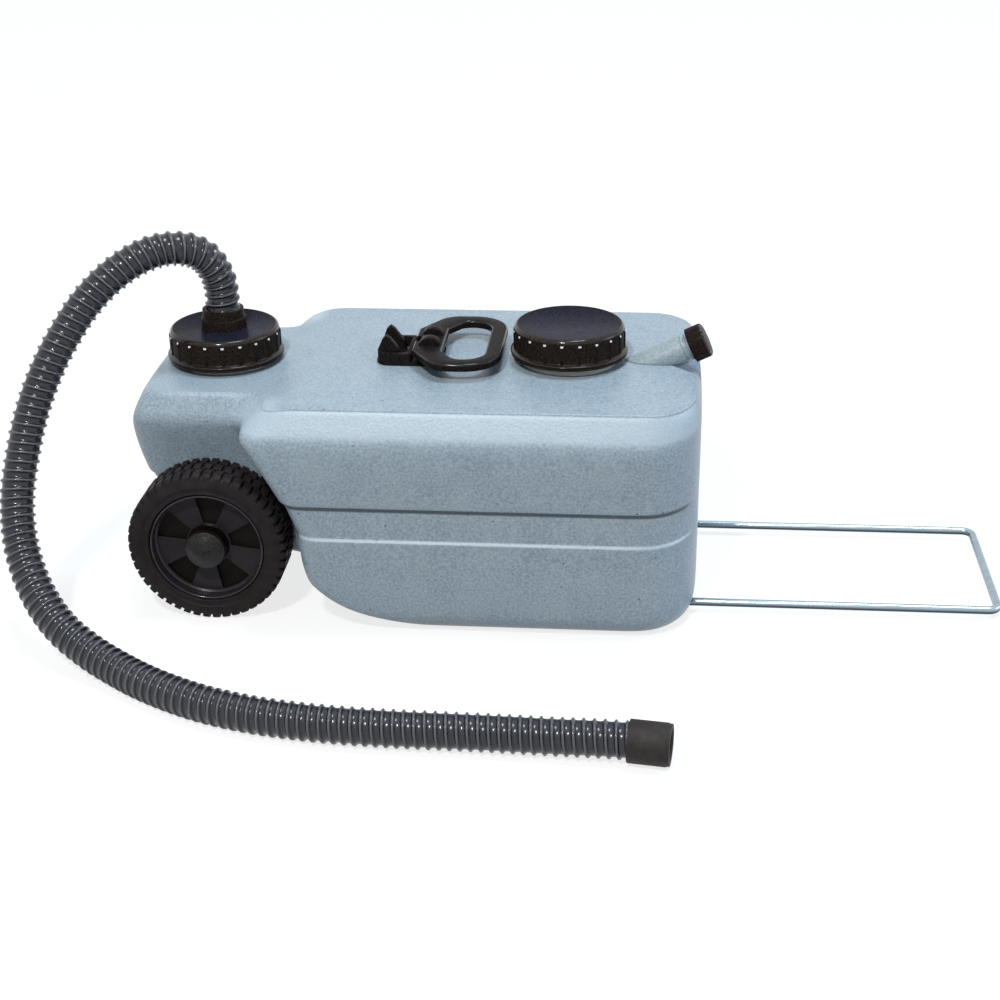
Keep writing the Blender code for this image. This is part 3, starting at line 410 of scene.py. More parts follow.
def rectangle(x0, y0, x1, y1):
    return [(x0, y0), (x1, y0), (x1, y1), (x0, y1)]


def arc(cx, cy, rx, ry, start, end, steps):
    """Points on an elliptic arc, angles in degrees."""
    turns = [math.radians(start + (end - start) * i / steps) for i in range(steps + 1)]
    return [(cx + rx * math.cos(t), cy + ry * math.sin(t)) for t in turns]


def rounded(corners, steps):
    """A closed outline through corners of (x, y, radius), each corner rounded."""
    points = []
    count = len(corners)
    for i, (x, y, radius) in enumerate(corners):
        here = Vector((x, y))
        back = (Vector(corners[i - 1][:2]) - here).normalized()
        onward = (Vector(corners[(i + 1) % count][:2]) - here).normalized()
        half = back.angle(onward) / 2
        reach = radius / math.tan(half)
        centre = here + (back + onward).normalized() * radius / math.sin(half)
        first = here + back * reach - centre
        last = here + onward * reach - centre
        sweep = first.angle_signed(last)
        for k in range(steps + 1):
            points.append(tuple(centre + Matrix.Rotation(-sweep * k / steps, 2) @ first))
    return points


def soften(bm, width, segments=3, angle=30):
    """Rounds every edge where two faces meet at more than the angle, in degrees."""
    sharp = [e for e in bm.edges if e.is_manifold and e.calc_face_angle(0.0) > math.radians(angle)]
    bmesh.ops.bevel(bm, geom=sharp, offset=width, offset_type="OFFSET", segments=segments,
                    profile=0.5, affect="EDGES", clamp_overlap=True, material=-1)
    return bm


def placed(bm, at=(0, 0, 0), turn=None):
    """Turns a form by a matrix, then moves it."""
    matrix = Matrix.Translation(at)
    if turn is not None:
        matrix = matrix @ turn.to_4x4()
    bmesh.ops.transform(bm, matrix=matrix, verts=bm.verts)
    return bm


def around(point):
    """A point's distance from the Z axis, and its angle about it in turns."""
    return math.hypot(point.x, point.y), math.atan2(point.y, point.x) / (2 * math.pi)


def push_out(vert, by):
    """Moves a point away from the Z axis."""
    radius = math.hypot(vert.co.x, vert.co.y)
    vert.co.x *= (radius + by) / radius
    vert.co.y *= (radius + by) / radius


def eased(share):
    """A share held between 0 and 1, with a soft start and a soft end."""
    held = min(1.0, max(0.0, share))
    return held * held * (3 - 2 * held)


def from_whole(number):
    """How far the nearest whole number is."""
    return abs((number + 0.5) % 1.0 - 0.5)


def form_of(obj, remove=False):
    """A form with an object's mesh. The object itself can be removed."""
    bm = bmesh.new()
    bm.from_mesh(obj.data)
    if remove:
        bpy.data.objects.remove(obj, do_unlink=True)
    return bm


def form_into(bm, obj):
    """Puts a form back into its object."""
    bm.to_mesh(obj.data)
    bm.free()


def close_ends(bm):
    """Fills the open ends of a tube, and gives back the new faces."""
    ends = [e for e in bm.edges if e.is_boundary]
    return bmesh.ops.holes_fill(bm, edges=ends, sides=0)["faces"]


def shown_mesh(obj):
    """The mesh that an object shows, with its bevel or its modifiers applied."""
    graph = bpy.context.evaluated_depsgraph_get()
    return bpy.data.meshes.new_from_object(obj.evaluated_get(graph))


def settled(obj):
    """Applies an object's modifiers to its mesh."""
    mesh = shown_mesh(obj)
    obj.modifiers.clear()
    obj.data = mesh


def cut(obj, tool_form):
    """Cuts a form out of an object, and applies that."""
    tool = plain_object("tool", tool_form)
    step = obj.modifiers.new("cut", "BOOLEAN")
    step.operation = "DIFFERENCE"
    step.object = tool
    settled(obj)
    bpy.data.objects.remove(tool, do_unlink=True)


def merged_copy(node):
    """A copy of a CAD node's mesh, its loose triangles joined and flat faces made whole."""
    bm = form_of(frame["nodes"][node])
    merge(bm)
    bmesh.ops.dissolve_limit(bm, angle_limit=math.radians(1.0), verts=bm.verts, edges=bm.edges)
    return bm


def finish_object(obj, finish, body, replaces=(), angle=40):
    """Gives an object its finish and body, and hides the CAD nodes that it stands for."""
    obj.data.name = obj.name
    obj.data.materials.clear()
    obj.data.materials.append(finish.material)
    obj.data.shade_smooth()
    obj.data.set_sharp_from_angle(angle=math.radians(angle))
    if body:
        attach(obj, body)
    if replaces:
        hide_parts(*replaces)
    print(f"{obj.name}: {len(obj.data.polygons)} faces")
    return obj


def finished(name, bm, finish, body, replaces=(), angle=40):
    merge(bm)
    return finish_object(plain_object(name, bm), finish, body, replaces, angle)


print("form helpers ready")

# %% [markdown]
# ## Drain hose
#
# The hose is a corrugated plastic tube. Its route is a short list of points: straight up
# out of its socket, over in an arch, down to the floor and along it. A smooth curve through them is
# stepped evenly, and each rib gets sixteen steps. The tube is a curve with a round bevel, then
# a mesh, because its ribs wind round it as a shallow spiral and a curve can only have plain rings.
# A number stored on each point says how far the nearest rib is, and the finish reads that number.

# %% Drain hose
HOSE_R = 0.0173
HOSE_ROOT_R = 0.0153
RIB_PITCH = 0.0092
STEPS_PER_RIB = 16
HOSE_SIDES = 24
HOSE_WALL = 0.0024
BORE_DEPTH = 0.030
RIB_FOOT, RIB_SLOPE, VALLEY_SAG = 0.225, 0.17, 0.16
FINE_STEPS = 16         # between two points of the route, before the steps are made even
SOCKET_FLOOR = Vector((-0.1983, 0.0, 0.2640)) + MIDDLE
HOSE_END = Vector((0.2425, -0.3605, 0.0193)) + MIDDLE
HOSE_HEADING = Vector((1.0, -0.130, 0.0)).normalized()

# The same route as in the CAD source, measured from the tank's middle
HOSE_ROUTE = [
    (-0.2002, -0.0010, 0.3110), (-0.2080, -0.0050, 0.3290), (-0.2190, -0.0100, 0.3390),
    (-0.2335, -0.0170, 0.3440), (-0.2500, -0.0240, 0.3440), (-0.2694, -0.0350, 0.3386),
    (-0.2917, -0.0480, 0.3255), (-0.3140, -0.0620, 0.3047), (-0.3333, -0.0770, 0.2779),
    (-0.3502, -0.0920, 0.2476), (-0.3649, -0.1080, 0.2103), (-0.3742, -0.1260, 0.1698),
    (-0.3775, -0.1470, 0.1300), (-0.3695, -0.1720, 0.0925), (-0.3490, -0.2010, 0.0615),
    (-0.3209, -0.2273, 0.0395), (-0.2894, -0.2466, 0.0255), (-0.2564, -0.2669, 0.0190),
    (-0.2177, -0.2922, 0.0176), (-0.1652, -0.3190, 0.0176), (-0.1162, -0.3345, 0.0176),
    (-0.0701, -0.3429, 0.0176), (-0.0253, -0.3474, 0.0176), (0.0188, -0.3493, 0.0176),
    (0.0625, -0.3498, 0.0176), (0.1060, -0.3506, 0.0176), (0.1493, -0.3524, 0.0178),
]


def smooth_line(points, spacing):
    """Even steps along a smooth curve through the points, and its length."""
    pts = [Vector(p) for p in points]
    pts = [pts[0] * 2 - pts[1]] + pts + [pts[-1] * 2 - pts[-2]]
    fine = []
    for p0, p1, p2, p3 in zip(pts, pts[1:], pts[2:], pts[3:]):
        knots = [0.0]
        for a, b in ((p0, p1), (p1, p2), (p2, p3)):
            knots.append(knots[-1] + (b - a).length ** 0.5)
        t0, t1, t2, t3 = knots
        for k in range(FINE_STEPS):
            t = t1 + (t2 - t1) * k / FINE_STEPS
            a1 = p0.lerp(p1, (t - t0) / (t1 - t0))
            a2 = p1.lerp(p2, (t - t1) / (t2 - t1))
            a3 = p2.lerp(p3, (t - t2) / (t3 - t2))
            b1 = a1.lerp(a2, (t - t0) / (t2 - t0))
            b2 = a2.lerp(a3, (t - t1) / (t3 - t1))
            fine.append(b1.lerp(b2, (t - t1) / (t2 - t1)))
    fine.append(pts[-2])
    travelled = [0.0]
    for a, b in zip(fine, fine[1:]):
        travelled.append(travelled[-1] + (b - a).length)
    count = round(travelled[-1] / spacing)
    even = []
    j = 0
    for i in range(count + 1):
        want = travelled[-1] * i / count
        while j < len(fine) - 2 and travelled[j + 1] < want:
            j += 1
        span = travelled[j + 1] - travelled[j]
        even.append(fine[j].lerp(fine[j + 1], (want - travelled[j]) / span))
    return even, travelled[-1]


def tube_object(name, points, radius, sides):
    """A round bar along points, made as a bevelled curve and turned into a mesh, its ends open."""
    curve = bpy.data.curves.new(name, "CURVE")
    curve.dimensions = "3D"
    curve.bevel_depth = radius
    curve.bevel_resolution = (sides - 4) // 2
    curve.twist_mode = "MINIMUM"
    spline = curve.splines.new("POLY")
    spline.points.add(len(points) - 1)
    for point, where in zip(spline.points, points):
        point.co = (*where, 1.0)
    drawn = add_object(name, curve)
    mesh = shown_mesh(drawn)
    bpy.data.objects.remove(drawn, do_unlink=True)
    return add_object(name, mesh)


def rib_height(away):
    """1 on a rib, 0 at its foot and a little less in the slack wall between two ribs."""
    if away > RIB_FOOT:
        return VALLEY_SAG * (((0.5 - away) / (0.5 - RIB_FOOT)) ** 2 - 1)
    return eased((RIB_FOOT - away) / RIB_SLOPE)


hose_path = [SOCKET_FLOOR, SOCKET_FLOOR + Vector((0, 0, 2 * HOSE_R))]
hose_path += [Vector(p) + MIDDLE for p in HOSE_ROUTE]
hose_path += [HOSE_END - HOSE_HEADING * 2 * HOSE_R, HOSE_END]
hose_line, hose_length = smooth_line(hose_path, RIB_PITCH / STEPS_PER_RIB)
hose = tube_object("drain_hose_tube", hose_line, HOSE_R, HOSE_SIDES)
beside_rib = hose.data.attributes.new("beside_rib", "FLOAT", "POINT")
for vertex in hose.data.vertices:
    ring, corner = divmod(vertex.index, HOSE_SIDES)
    away = from_whole(ring / STEPS_PER_RIB - corner / HOSE_SIDES)
    radius = HOSE_ROOT_R + (HOSE_R - HOSE_ROOT_R) * rib_height(away)
    centre = hose_line[ring]
    vertex.co = centre + (vertex.co - centre) * (radius / HOSE_R)
    beside_rib.data[vertex.index].value = away

bm = form_of(hose)
mouth = min(close_ends(bm), key=lambda face: (face.calc_center_median() - HOSE_END).length)
bmesh.ops.inset_region(bm, faces=[mouth], thickness=HOSE_WALL)
bore = bmesh.ops.extrude_discrete_faces(bm, faces=[mouth])["faces"][0]
bmesh.ops.translate(bm, verts=bore.verts, vec=-HOSE_HEADING * BORE_DEPTH)
form_into(outward(bm), hose)
print(f"hose {hose_length * 1000:.0f} mm long, {len(hose_line)} rings of {HOSE_SIDES} points")

# %% [markdown]
# ## Hose finish
#
# The hose is charcoal with a blue cast. A hard, paler wire of plastic is wound into the soft wall
# and makes the thin ribs. Their crests are painted paler still as a highlight, and painted shade
# darkens the crease at each rib's foot.

# %% Hose finish
CREST_END, FOOT_START, FOOT_END = 0.13, 0.10, 0.34      # counted in ribs, as the number stored is
hose_finish = Finish("charcoal_hose_ribs", specular=0.38)
away = hose_finish.stored("beside_rib")
fine = hose_finish.grain(700.0, 3.0)
# Painted shade: a dark line in the crease at each rib's foot.
foot = away.step(FOOT_START, FOOT_START + 0.06) * away.step(FOOT_END, FOOT_END - 0.09)
valley = fine.blend((0.012, 0.012, 0.017), (0.046, 0.047, 0.062))
valley = (foot * 0.9).blend(valley, (0.004, 0.004, 0.006))
# Painted highlight: the crests are painted pale.
crest_with_painted_highlight = away.step(CREST_END, CREST_END - 0.06) * (0.7 + hose_finish.grain(55.0) * 0.3)
hose_finish.wear(crest_with_painted_highlight.blend(valley, (0.125, 0.119, 0.132)), 0.20, fine.bump(0.00002))

finish_object(hose, hose_finish, None, angle=60)

# %% [markdown]
# ## End cuff
#
# A short black rubber cuff is pushed over the hose's free end. It is a lathe form with a rolled
# edge and a bore, laid along the hose's last direction.

# %% End cuff
CUFF_R = 0.0190
CUFF_L = 0.0365
CUFF_LAP = 0.0260
HOSE_BORE_R = 0.0128

rubber = Finish("black_rubber_cuff", specular=0.3)
cloud = rubber.grain(140.0)
rubber.wear(cloud.blend((0.027, 0.021, 0.020), (0.010, 0.0075, 0.0068)), 0.50 + cloud * 0.25,
            rubber.grain(800.0).bump(0.0002))

front, rolled, inside = CUFF_L - CUFF_LAP, CUFF_R - 0.0006, HOSE_R + 0.0002
cuff_profile = [(inside, -CUFF_LAP), (CUFF_R, -CUFF_LAP), (CUFF_R, front - 0.0030),
                (rolled, front - 0.0026), (rolled, front), (HOSE_BORE_R + 0.0012, front),
                (HOSE_BORE_R, front - 0.0020), (HOSE_BORE_R, 0.0004), (inside, 0.0004)]
cuff_form = soften(lathe(cuff_profile, 64), 0.0004, 2)
placed(cuff_form, HOSE_END, HOSE_HEADING.to_track_quat("Z", "Y").to_matrix())
cuff = finished("hose_cuff", cuff_form, rubber, None)

# %% [markdown]
# ## Hose in place
#
# The hose and its cuff ride on no body, so they do not move with the hose fitting. Their shapes
# are fixed where they lie, and the CAD nodes that they stand for are hidden.

for piece, node in ((hose, "drain_hose"), (cuff, "hose_end_cuff")):
    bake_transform(piece)
    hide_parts(node)

# %% [markdown]
# ## Tank
#
# The tank is blow-moulded, so it has no sharp edge anywhere and its walls flow into each other. It
# is built as a coarse cage of level outlines, one above the other, joined with `bridge_loops`. The
# deck is filled with a ladder of faces. A Subdivision Surface then rounds the cage.
# Where two levels lie close together the form stays crisp, as along the side band.

# %% Tank cage
DECK_Z = 0.2310
END_X = 0.2765
NOSE_X = -0.2765
HALF_W = 0.162
BASE_R = 0.027
BAND_LOW, BAND_HIGH, BAND_DEPTH = 0.101, 0.135, 0.0038
DECK_HALF_W = 0.1455
NOSE_HALF_W = 0.0899
NOSE_DROP = 0.0055
CORNER_X, CORNER_Y = 0.055, 0.075

SIDE = HALF_W - 0.006
BAND = HALF_W - 0.004 - BAND_DEPTH
EDGE = 0.0010
HOLD = 0.0022
CROWN = 0.030                   # how far below the deck its rounded edge starts
FLANK_R, VALLEY_R, NOSE_R = 0.020, 0.022, 0.020
VALLEY_BACK = 0.0015            # how far the valley lies behind the flank
TIP_BULGE = 0.0012
END_BULGES = ((0.0, 0.0015), (0.35, 0.0013), (0.7, 0.0008))     # share of the end's width, bulge
# Height, half width, flank x, nose half width and nose x, from the base up
TANK_LEVELS = [
    (0.0, SIDE - 0.93 * BASE_R, 0.016, None, None),
    (0.18 * BASE_R, SIDE - 0.40 * BASE_R, -0.005, None, None),
    (0.58 * BASE_R, SIDE - 0.08 * BASE_R, -0.046, None, None),
    (BASE_R, SIDE, -0.076, None, None),
    (0.046, SIDE, -0.098, None, None),
    (0.052, SIDE, -0.101, NOSE_HALF_W - 0.006, NOSE_X + 0.067),
    (0.070, SIDE + 0.0005, -0.106, NOSE_HALF_W, NOSE_X + 0.050),
    (BAND_LOW - EDGE - HOLD, SIDE + 0.001, -0.107, NOSE_HALF_W, NOSE_X + 0.033),
    (BAND_LOW - EDGE, SIDE + 0.001, -0.107, NOSE_HALF_W, NOSE_X + 0.032),
    (BAND_LOW + EDGE, BAND, -0.108, NOSE_HALF_W, NOSE_X + 0.029),
    (BAND_LOW + EDGE + HOLD, BAND, -0.109, NOSE_HALF_W, NOSE_X + 0.027),
    (BAND_HIGH - EDGE - HOLD, BAND, -0.120, NOSE_HALF_W + 0.0003, NOSE_X + 0.0130),
    (BAND_HIGH - EDGE, BAND, -0.121, NOSE_HALF_W + 0.0003, NOSE_X + 0.0115),
    (BAND_HIGH + EDGE, HALF_W - 0.004, -0.123, NOSE_HALF_W + 0.0005, NOSE_X + 0.0085),
    (BAND_HIGH + EDGE + HOLD, HALF_W - 0.0038, -0.1245, NOSE_HALF_W + 0.0007, NOSE_X + 0.0075),
    (0.160, HALF_W - 0.002, -0.135, NOSE_HALF_W + 0.0020, NOSE_X + 0.001),
    (0.184, HALF_W - 0.0005, -0.149, NOSE_HALF_W + 0.0105, NOSE_X),
    (0.197, HALF_W, -0.156, NOSE_HALF_W + 0.0150, NOSE_X + 0.0015),
    (0.206, HALF_W - 0.0025, -0.1575, NOSE_HALF_W + 0.0150, NOSE_X + 0.004),
    (0.222, DECK_HALF_W + 0.0048, -0.147, NOSE_HALF_W + 0.0090, NOSE_X + 0.0105),
    (DECK_Z - 0.0018, DECK_HALF_W + 0.0010, -0.138, NOSE_HALF_W + 0.0065, NOSE_X + 0.0145),
    (DECK_Z, DECK_HALF_W - 0.0020, -0.134, NOSE_HALF_W + 0.0035, NOSE_X + 0.0180),
]


def half_outline(level):
    """Half of the tank's outline at one height, from the end wall round to the nose, y negative."""
    z, side, flank, nose_w, nose_x = level
    rise = max(0.0, z - (DECK_Z - CROWN)) / CROWN
    end = END_X - 0.006 * max(0.0, 1 - z / BASE_R) ** 2 - 0.006 * rise ** 4
    reach, depth = CORNER_X - 0.012 * rise, CORNER_Y - 0.020 * rise
    points = [(end + bulge, -(side - depth) * share) for share, bulge in END_BULGES]
    points += arc(end - reach, -(side - depth), reach, depth, 0, -90, 6)
    front = flank + FLANK_R
    straight = end - reach - front
    points += [(end - reach - straight * k / 8, -side) for k in range(1, 8)]
    points += arc(front, -(side - FLANK_R), FLANK_R, FLANK_R, -90, -180, 4)
    if nose_w is None:
        low = points[-1][1]
        points += [(flank, low * (1 - k / 13)) for k in range(1, 14)]
    else:
        back = flank - VALLEY_R - VALLEY_BACK
        run = nose_x + NOSE_R - back
        points += arc(back, -(nose_w + VALLEY_R), VALLEY_R, VALLEY_R, 0, 90, 4)
        points += [(back + run * k, -nose_w) for k in (0.25, 0.5, 0.75)]
        points += arc(nose_x + NOSE_R, -(nose_w - NOSE_R), NOSE_R, NOSE_R, -90, -180, 3)
        points.append((nose_x - TIP_BULGE, 0.0))
    return [(x, y, z) for x, y in points]


def level_ring(bm, level):
    """The whole outline at one height as a closed ring."""
    half = half_outline(level)
    other = [(x, -y, z) for x, y, z in reversed(half[1:-1])]
    return edge_ring(bm, [Vector(point) + MIDDLE for point in half + other])


def fill_level(bm, ring, margin):
    """Fills a level ring with one face inside a narrow border."""
    face = bm.faces.new(ring)
    bmesh.ops.inset_region(bm, faces=[face], thickness=margin, use_even_offset=True)
    return face


def lay_rungs(bm, face, steps):
    """Splits a face by rungs across it, and each rung into even steps."""
    ring = list(face.verts)
    front = [v for v in ring if v.co.y < -1e-5]
    behind = [v for v in ring if v.co.y > 1e-5]
    crossings = []
    for v in front:
        w = min(behind, key=lambda o: (o.co.x - v.co.x) ** 2 + (o.co.y + v.co.y) ** 2)
        found = bm.edges.get((v, w))
        if found is None:
            found = bmesh.ops.connect_verts(bm, verts=[v, w])["edges"][0]
        crossings.append(found)
    bmesh.ops.subdivide_edges(bm, edges=crossings, cuts=steps, use_grid_fill=True)


cage = bmesh.new()
rings = [level_ring(cage, level) for level in TANK_LEVELS]
for (_, lower), (_, upper) in zip(rings, rings[1:]):
    bmesh.ops.bridge_loops(cage, edges=lower + upper)
fill_level(cage, rings[0][0], 0.006)
lay_rungs(cage, fill_level(cage, rings[-1][0], 0.0025), 16)
outward(cage)
tank = plain_object("tank_skin", cage)
rounding = tank.modifiers.new("rounding", "SUBSURF")
rounding.levels = rounding.render_levels = 2
settled(tank)
print(f"tank: {len(tank.data.polygons)} faces")

# %% [markdown]
# ## Deck details
#
# Three things shape the deck: it drops a little over the wheels, it has a scoop round the pouring
# spout, and is open under the two wide caps. The drop and the scoop are soft, so they are pressed
# into a fine mesh by moving its points: a point that would lie inside the scoop's cone goes down to
# the cone's wall. A smooth minimum rounds the scoop's edge. The round openings and the two grooves
# for the pull handle are crisp, so they are cut.

# %% Deck details
SPOUT_TILT = math.radians(26.0)
SPOUT_WAY = Vector((math.cos(SPOUT_TILT), 0, math.sin(SPOUT_TILT)))
SPOUT_MOUTH = Vector((0.2773, 0, 0.2524)) + MIDDLE
SCOOP_TIP = Vector((0.2365, 0, DECK_Z)) + MIDDLE
SCOOP_SPREAD = math.radians(51.0)
SCOOP_ROUND = 0.0014
DROP_START, DROP_LENGTH = -0.100, 0.050
PRESS_FROM_Z = 0.190            # below this height no point is pressed
FINE_BACK, FINE_HALF_W, FINE_FROM_Z = 0.012, 0.062, 0.196


def scoop_floor(x, y):
    """Height of the scoop's lower wall above a point of the deck, or None outside it."""
    dx, dy = x - SCOOP_TIP.x, y - SCOOP_TIP.y
    c, s, k = SPOUT_WAY.x, SPOUT_WAY.z, math.cos(SCOOP_SPREAD)
    # Where a line straight up meets the cone: a quadratic equation, of which this is the lower root
    a = s * s - k * k
    b = 2 * dx * c * s
    inside = b * b - 4 * a * (dx * dx * (c * c - k * k) - dy * dy * k * k)
    if inside < 0:
        return None
    dz = (-b + math.sqrt(inside)) / (2 * a)
    if dx * c + dz * s < 0:
        return None
    return SCOOP_TIP.z + dz


def smooth_lower(a, b, width):
    """The lower of two heights, with a soft change from one to the other."""
    near = max(width - abs(a - b), 0.0) / width
    return min(a, b) - near * near * width / 4


def beside_scoop(point):
    """Whether a point lies on the deck round the scoop, where the mesh has to be finer."""
    return (point.x > SCOOP_TIP.x - FINE_BACK and abs(point.y) < FINE_HALF_W
            and point.z > FINE_FROM_Z)


bm = form_of(tank)
around_scoop = [e for e in bm.edges if all(beside_scoop(v.co) for v in e.verts)]
bmesh.ops.subdivide_edges(bm, edges=around_scoop, cuts=3, use_grid_fill=True)
for v in bm.verts:
    along = eased((DROP_START - v.co.x + MIDDLE.x) / DROP_LENGTH)
    lift = min(1.0, max(0.0, (v.co.z - PRESS_FROM_Z) / (DECK_Z - PRESS_FROM_Z)))
    v.co.z -= NOSE_DROP * along * lift
    wall = scoop_floor(v.co.x, v.co.y)
    if wall is not None and v.co.z > PRESS_FROM_Z:
        v.co.z = smooth_lower(v.co.z, wall, SCOOP_ROUND * 2)
form_into(bm, tank)

NECK_R = 0.0466
NECK_BORE_R = NECK_R - 0.0036
WELL_DEPTH, WELL_TOP = 0.055, 0.02
NECKS = {"blank": ("blank_cap", DECK_Z), "hose": ("hose_cap", DECK_Z - NOSE_DROP)}
for node, deck in NECKS.values():
    low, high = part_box(node)
    middle = (low + high) / 2
    well = lathe([(0, -WELL_DEPTH), (NECK_BORE_R, -WELL_DEPTH), (NECK_BORE_R, WELL_TOP),
                  (0, WELL_TOP)], 64, closed=False)
    cut(tank, placed(well, (middle.x, 0, deck)))

HANDLE_Y, HANDLE_Z = 0.0881, 0.0102
GROOVE_HALF = 0.0067
GROOVE_START, GROOVE_END = -0.0683 + MIDDLE.x, 0.2
UNDER_BASE = -0.01
SPARE = Vector((0.0004, 0.0004, 0.0004))    # room all round a guide
for name, side in SIDES.items():
    y = side * HANDLE_Y
    groove = plate(rectangle(GROOVE_START, y - GROOVE_HALF, GROOVE_END, y + GROOVE_HALF),
                   UNDER_BASE, HANDLE_Z + GROOVE_HALF)
    cut(tank, soften(groove, 0.003, 2))
    for place in ("outer", "inner"):
        low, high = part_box(f"{name}_{place}_guide")
        low, high = low - SPARE, high + SPARE
        cut(tank, plate(rectangle(low.x, low.y, high.x, high.y), UNDER_BASE, high.z))
print(f"tank with its openings: {len(tank.data.polygons)} faces")

# %% [markdown]
# ## Tank finish
#
# Blow-moulded polyethylene has a fine satin grain and a faint cloudy mottle, with small dark specks
# of regrind in it. The grain is a bump as well as a slight change of colour. The wall is not quite
# flat either: a second, much wider bump makes the light roll over it. Round the deck runs the thin
# dark seam where the two halves of the mould met. Painted shade darkens the side band's upper edge,
# and the shoulders and the band's lower edge are painted paler as a highlight.

# %% Tank finish
TANK_END = END_X + MIDDLE.x
SEAM_Z = DECK_Z - 0.0012
SEAM_START = -0.141 + MIDDLE.x
poly = Finish("blue_grey_polyethylene_skin", specular=0.45)
fine = poly.grain(430.0, 3.0)
cloud = poly.grain(30.0, 3.0)
x, z = poly.axis(0), poly.axis(2)
aside = abs(poly.axis(1))
tone = (fine * 0.8 + cloud * 0.2).step(0.32, 0.68)
colour = tone.blend((0.228, 0.291, 0.345), (0.405, 0.492, 0.560))
colour = (cloud.step(0.55, 0.75) * 0.25).blend(colour, (0.34, 0.37, 0.35))
colour = (poly.spots(62.0, 0.075) * 0.85).blend(colour, (0.05, 0.06, 0.07))

# The shoulders between the wall and the deck are painted paler as a highlight
shoulder = z.step(0.203, 0.209) * z.step(DECK_Z - 0.001, DECK_Z - 0.003) * aside.step(0.10, 0.12)
colour = (shoulder * 0.55).blend(colour, (0.54, 0.64, 0.71))

# Painted shade under the band's upper edge and a painted highlight along its lower edge run from
# the flank to the end wall
on_flank = x.step(MIDDLE.x, MIDDLE.x + 0.01) * aside.step(0.104, 0.116)
on_side = aside.step(BAND - 0.012, BAND - 0.004).larger(on_flank)
on_side = on_side * x.step(TANK_END - 0.006, TANK_END - 0.014)
painted_ledge_shade = z.near(BAND_HIGH - 0.0018, 0.0019, 0.0031) * on_side
painted_lip_highlight = z.near(BAND_LOW, 0.0006, 0.0018) * on_side
colour = (painted_ledge_shade * 0.80).blend(colour, (0.030, 0.042, 0.055))
colour = (painted_lip_highlight * 0.50).blend(colour, (0.62, 0.72, 0.78))

# The seam runs round the deck's rim, and drops with the deck over the wheels
dropped = poly.node("ShaderNodeMapRange", {"interpolation_type": "SMOOTHSTEP"},
                    {"Value": x, "From Min": DROP_START + MIDDLE.x,
                     "From Max": DROP_START + MIDDLE.x - DROP_LENGTH})
at_rim = aside.step(0.112, 0.122).larger(x.step(TANK_END - 0.04, TANK_END - 0.03))
seam = (z + dropped * NOSE_DROP).near(SEAM_Z, 0.0003, 0.0007) * at_rim
seam = seam * x.step(SEAM_START, SEAM_START + 0.015)
colour = (seam * 0.45).blend(colour, (0.12, 0.15, 0.17))

rolling = poly.grain(11.0, 1.0).bump(0.0012)
poly.wear(colour, 0.35 + tone * 0.08, fine.bump(0.0003, rolling))

finish_object(tank, poly, "tank", ["tank_shell"], angle=50)

# %% [markdown]
# ## Necks
#
# The necks are part of the same moulding, and they stand in the shade under the caps. Their colour
# is a paler, warmer copy of the tank's: painted light in that shade. Each is a lathe ring on the
# deck. Its thread is spun too: `spin` with a step along the axis sweeps a small section into a
# screw line.

# %% Necks
THREAD_PITCH = 0.006
THREAD_H = 0.0018


def screw_ridge(radius, height, pitch, turns, start, steps):
    """A screw thread's ridge, right-handed, its root sunk a little into the wall."""
    bm = bmesh.new()
    root = radius - 0.0005
    section = [(root, -0.23 * pitch), (radius + height, -0.12 * pitch),
               (radius + height, 0.12 * pitch), (root, 0.23 * pitch)]
    verts = [bm.verts.new((r, 0.0, start + z)) for r, z in section]
    face = bm.faces.new(verts)
    count = round(turns * steps)
    bmesh.ops.spin(bm, geom=[face] + verts + list(face.edges), axis=(0, 0, 1),
                   angle=2 * math.pi * turns, dvec=(0, 0, pitch / steps), steps=count)
    return outward(bm)


def add_form(bm, other):
    """Adds one form to another as a loose part."""
    spare = bpy.data.meshes.new("spare")
    other.to_mesh(spare)
    other.free()
    bm.from_mesh(spare)
    bpy.data.meshes.remove(spare)


# Painted light: the neck's colour is the tank's polyethylene made paler and warmer, for the shade
# under the caps.
neck_finish_painted_lighter = Finish("polyethylene_neck_painted_lighter", specular=0.4)
fine = neck_finish_painted_lighter.grain(430.0, 3.0)
neck_finish_painted_lighter.wear(fine.blend((0.56, 0.53, 0.43), (0.80, 0.76, 0.63)), 0.5, fine.bump(0.0003))

NECK_TOP_GAP = {"blank": 0.0058, "hose": 0.0058 + 0.0028}   # the socket's flange needs room
NECK_FOOT_R = NECK_R + 0.0012
for kind, (node, deck) in NECKS.items():
    low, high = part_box(node)
    top = high.z - NECK_TOP_GAP[kind]
    ring = [(NECK_BORE_R, deck - 0.012), (NECK_FOOT_R, deck - 0.012),
            (NECK_FOOT_R, deck + 0.0015), (NECK_R, deck + 0.0030), (NECK_R, top),
            (NECK_BORE_R, top)]
    neck = soften(lathe(ring, 96), 0.0004, 2)
    add_form(neck, screw_ridge(NECK_R, THREAD_H, THREAD_PITCH, 1.25, top - 0.012, 48))
    placed(neck, ((low.x + high.x) / 2, 0, 0))
    finished(f"{kind}_neck", neck, neck_finish_painted_lighter, "tank", ["tank_shell"])

# %% [markdown]
# ## Spout
#
# The pouring spout slants up out of its scoop. It is a lathe form on the spout's axis, with a step
# down to a slimmer end, where a fine thread shows under its cap. Its colour is a little warmer and
# less blue than the tank's, and painted shade darkens the line where it comes out of the deck.

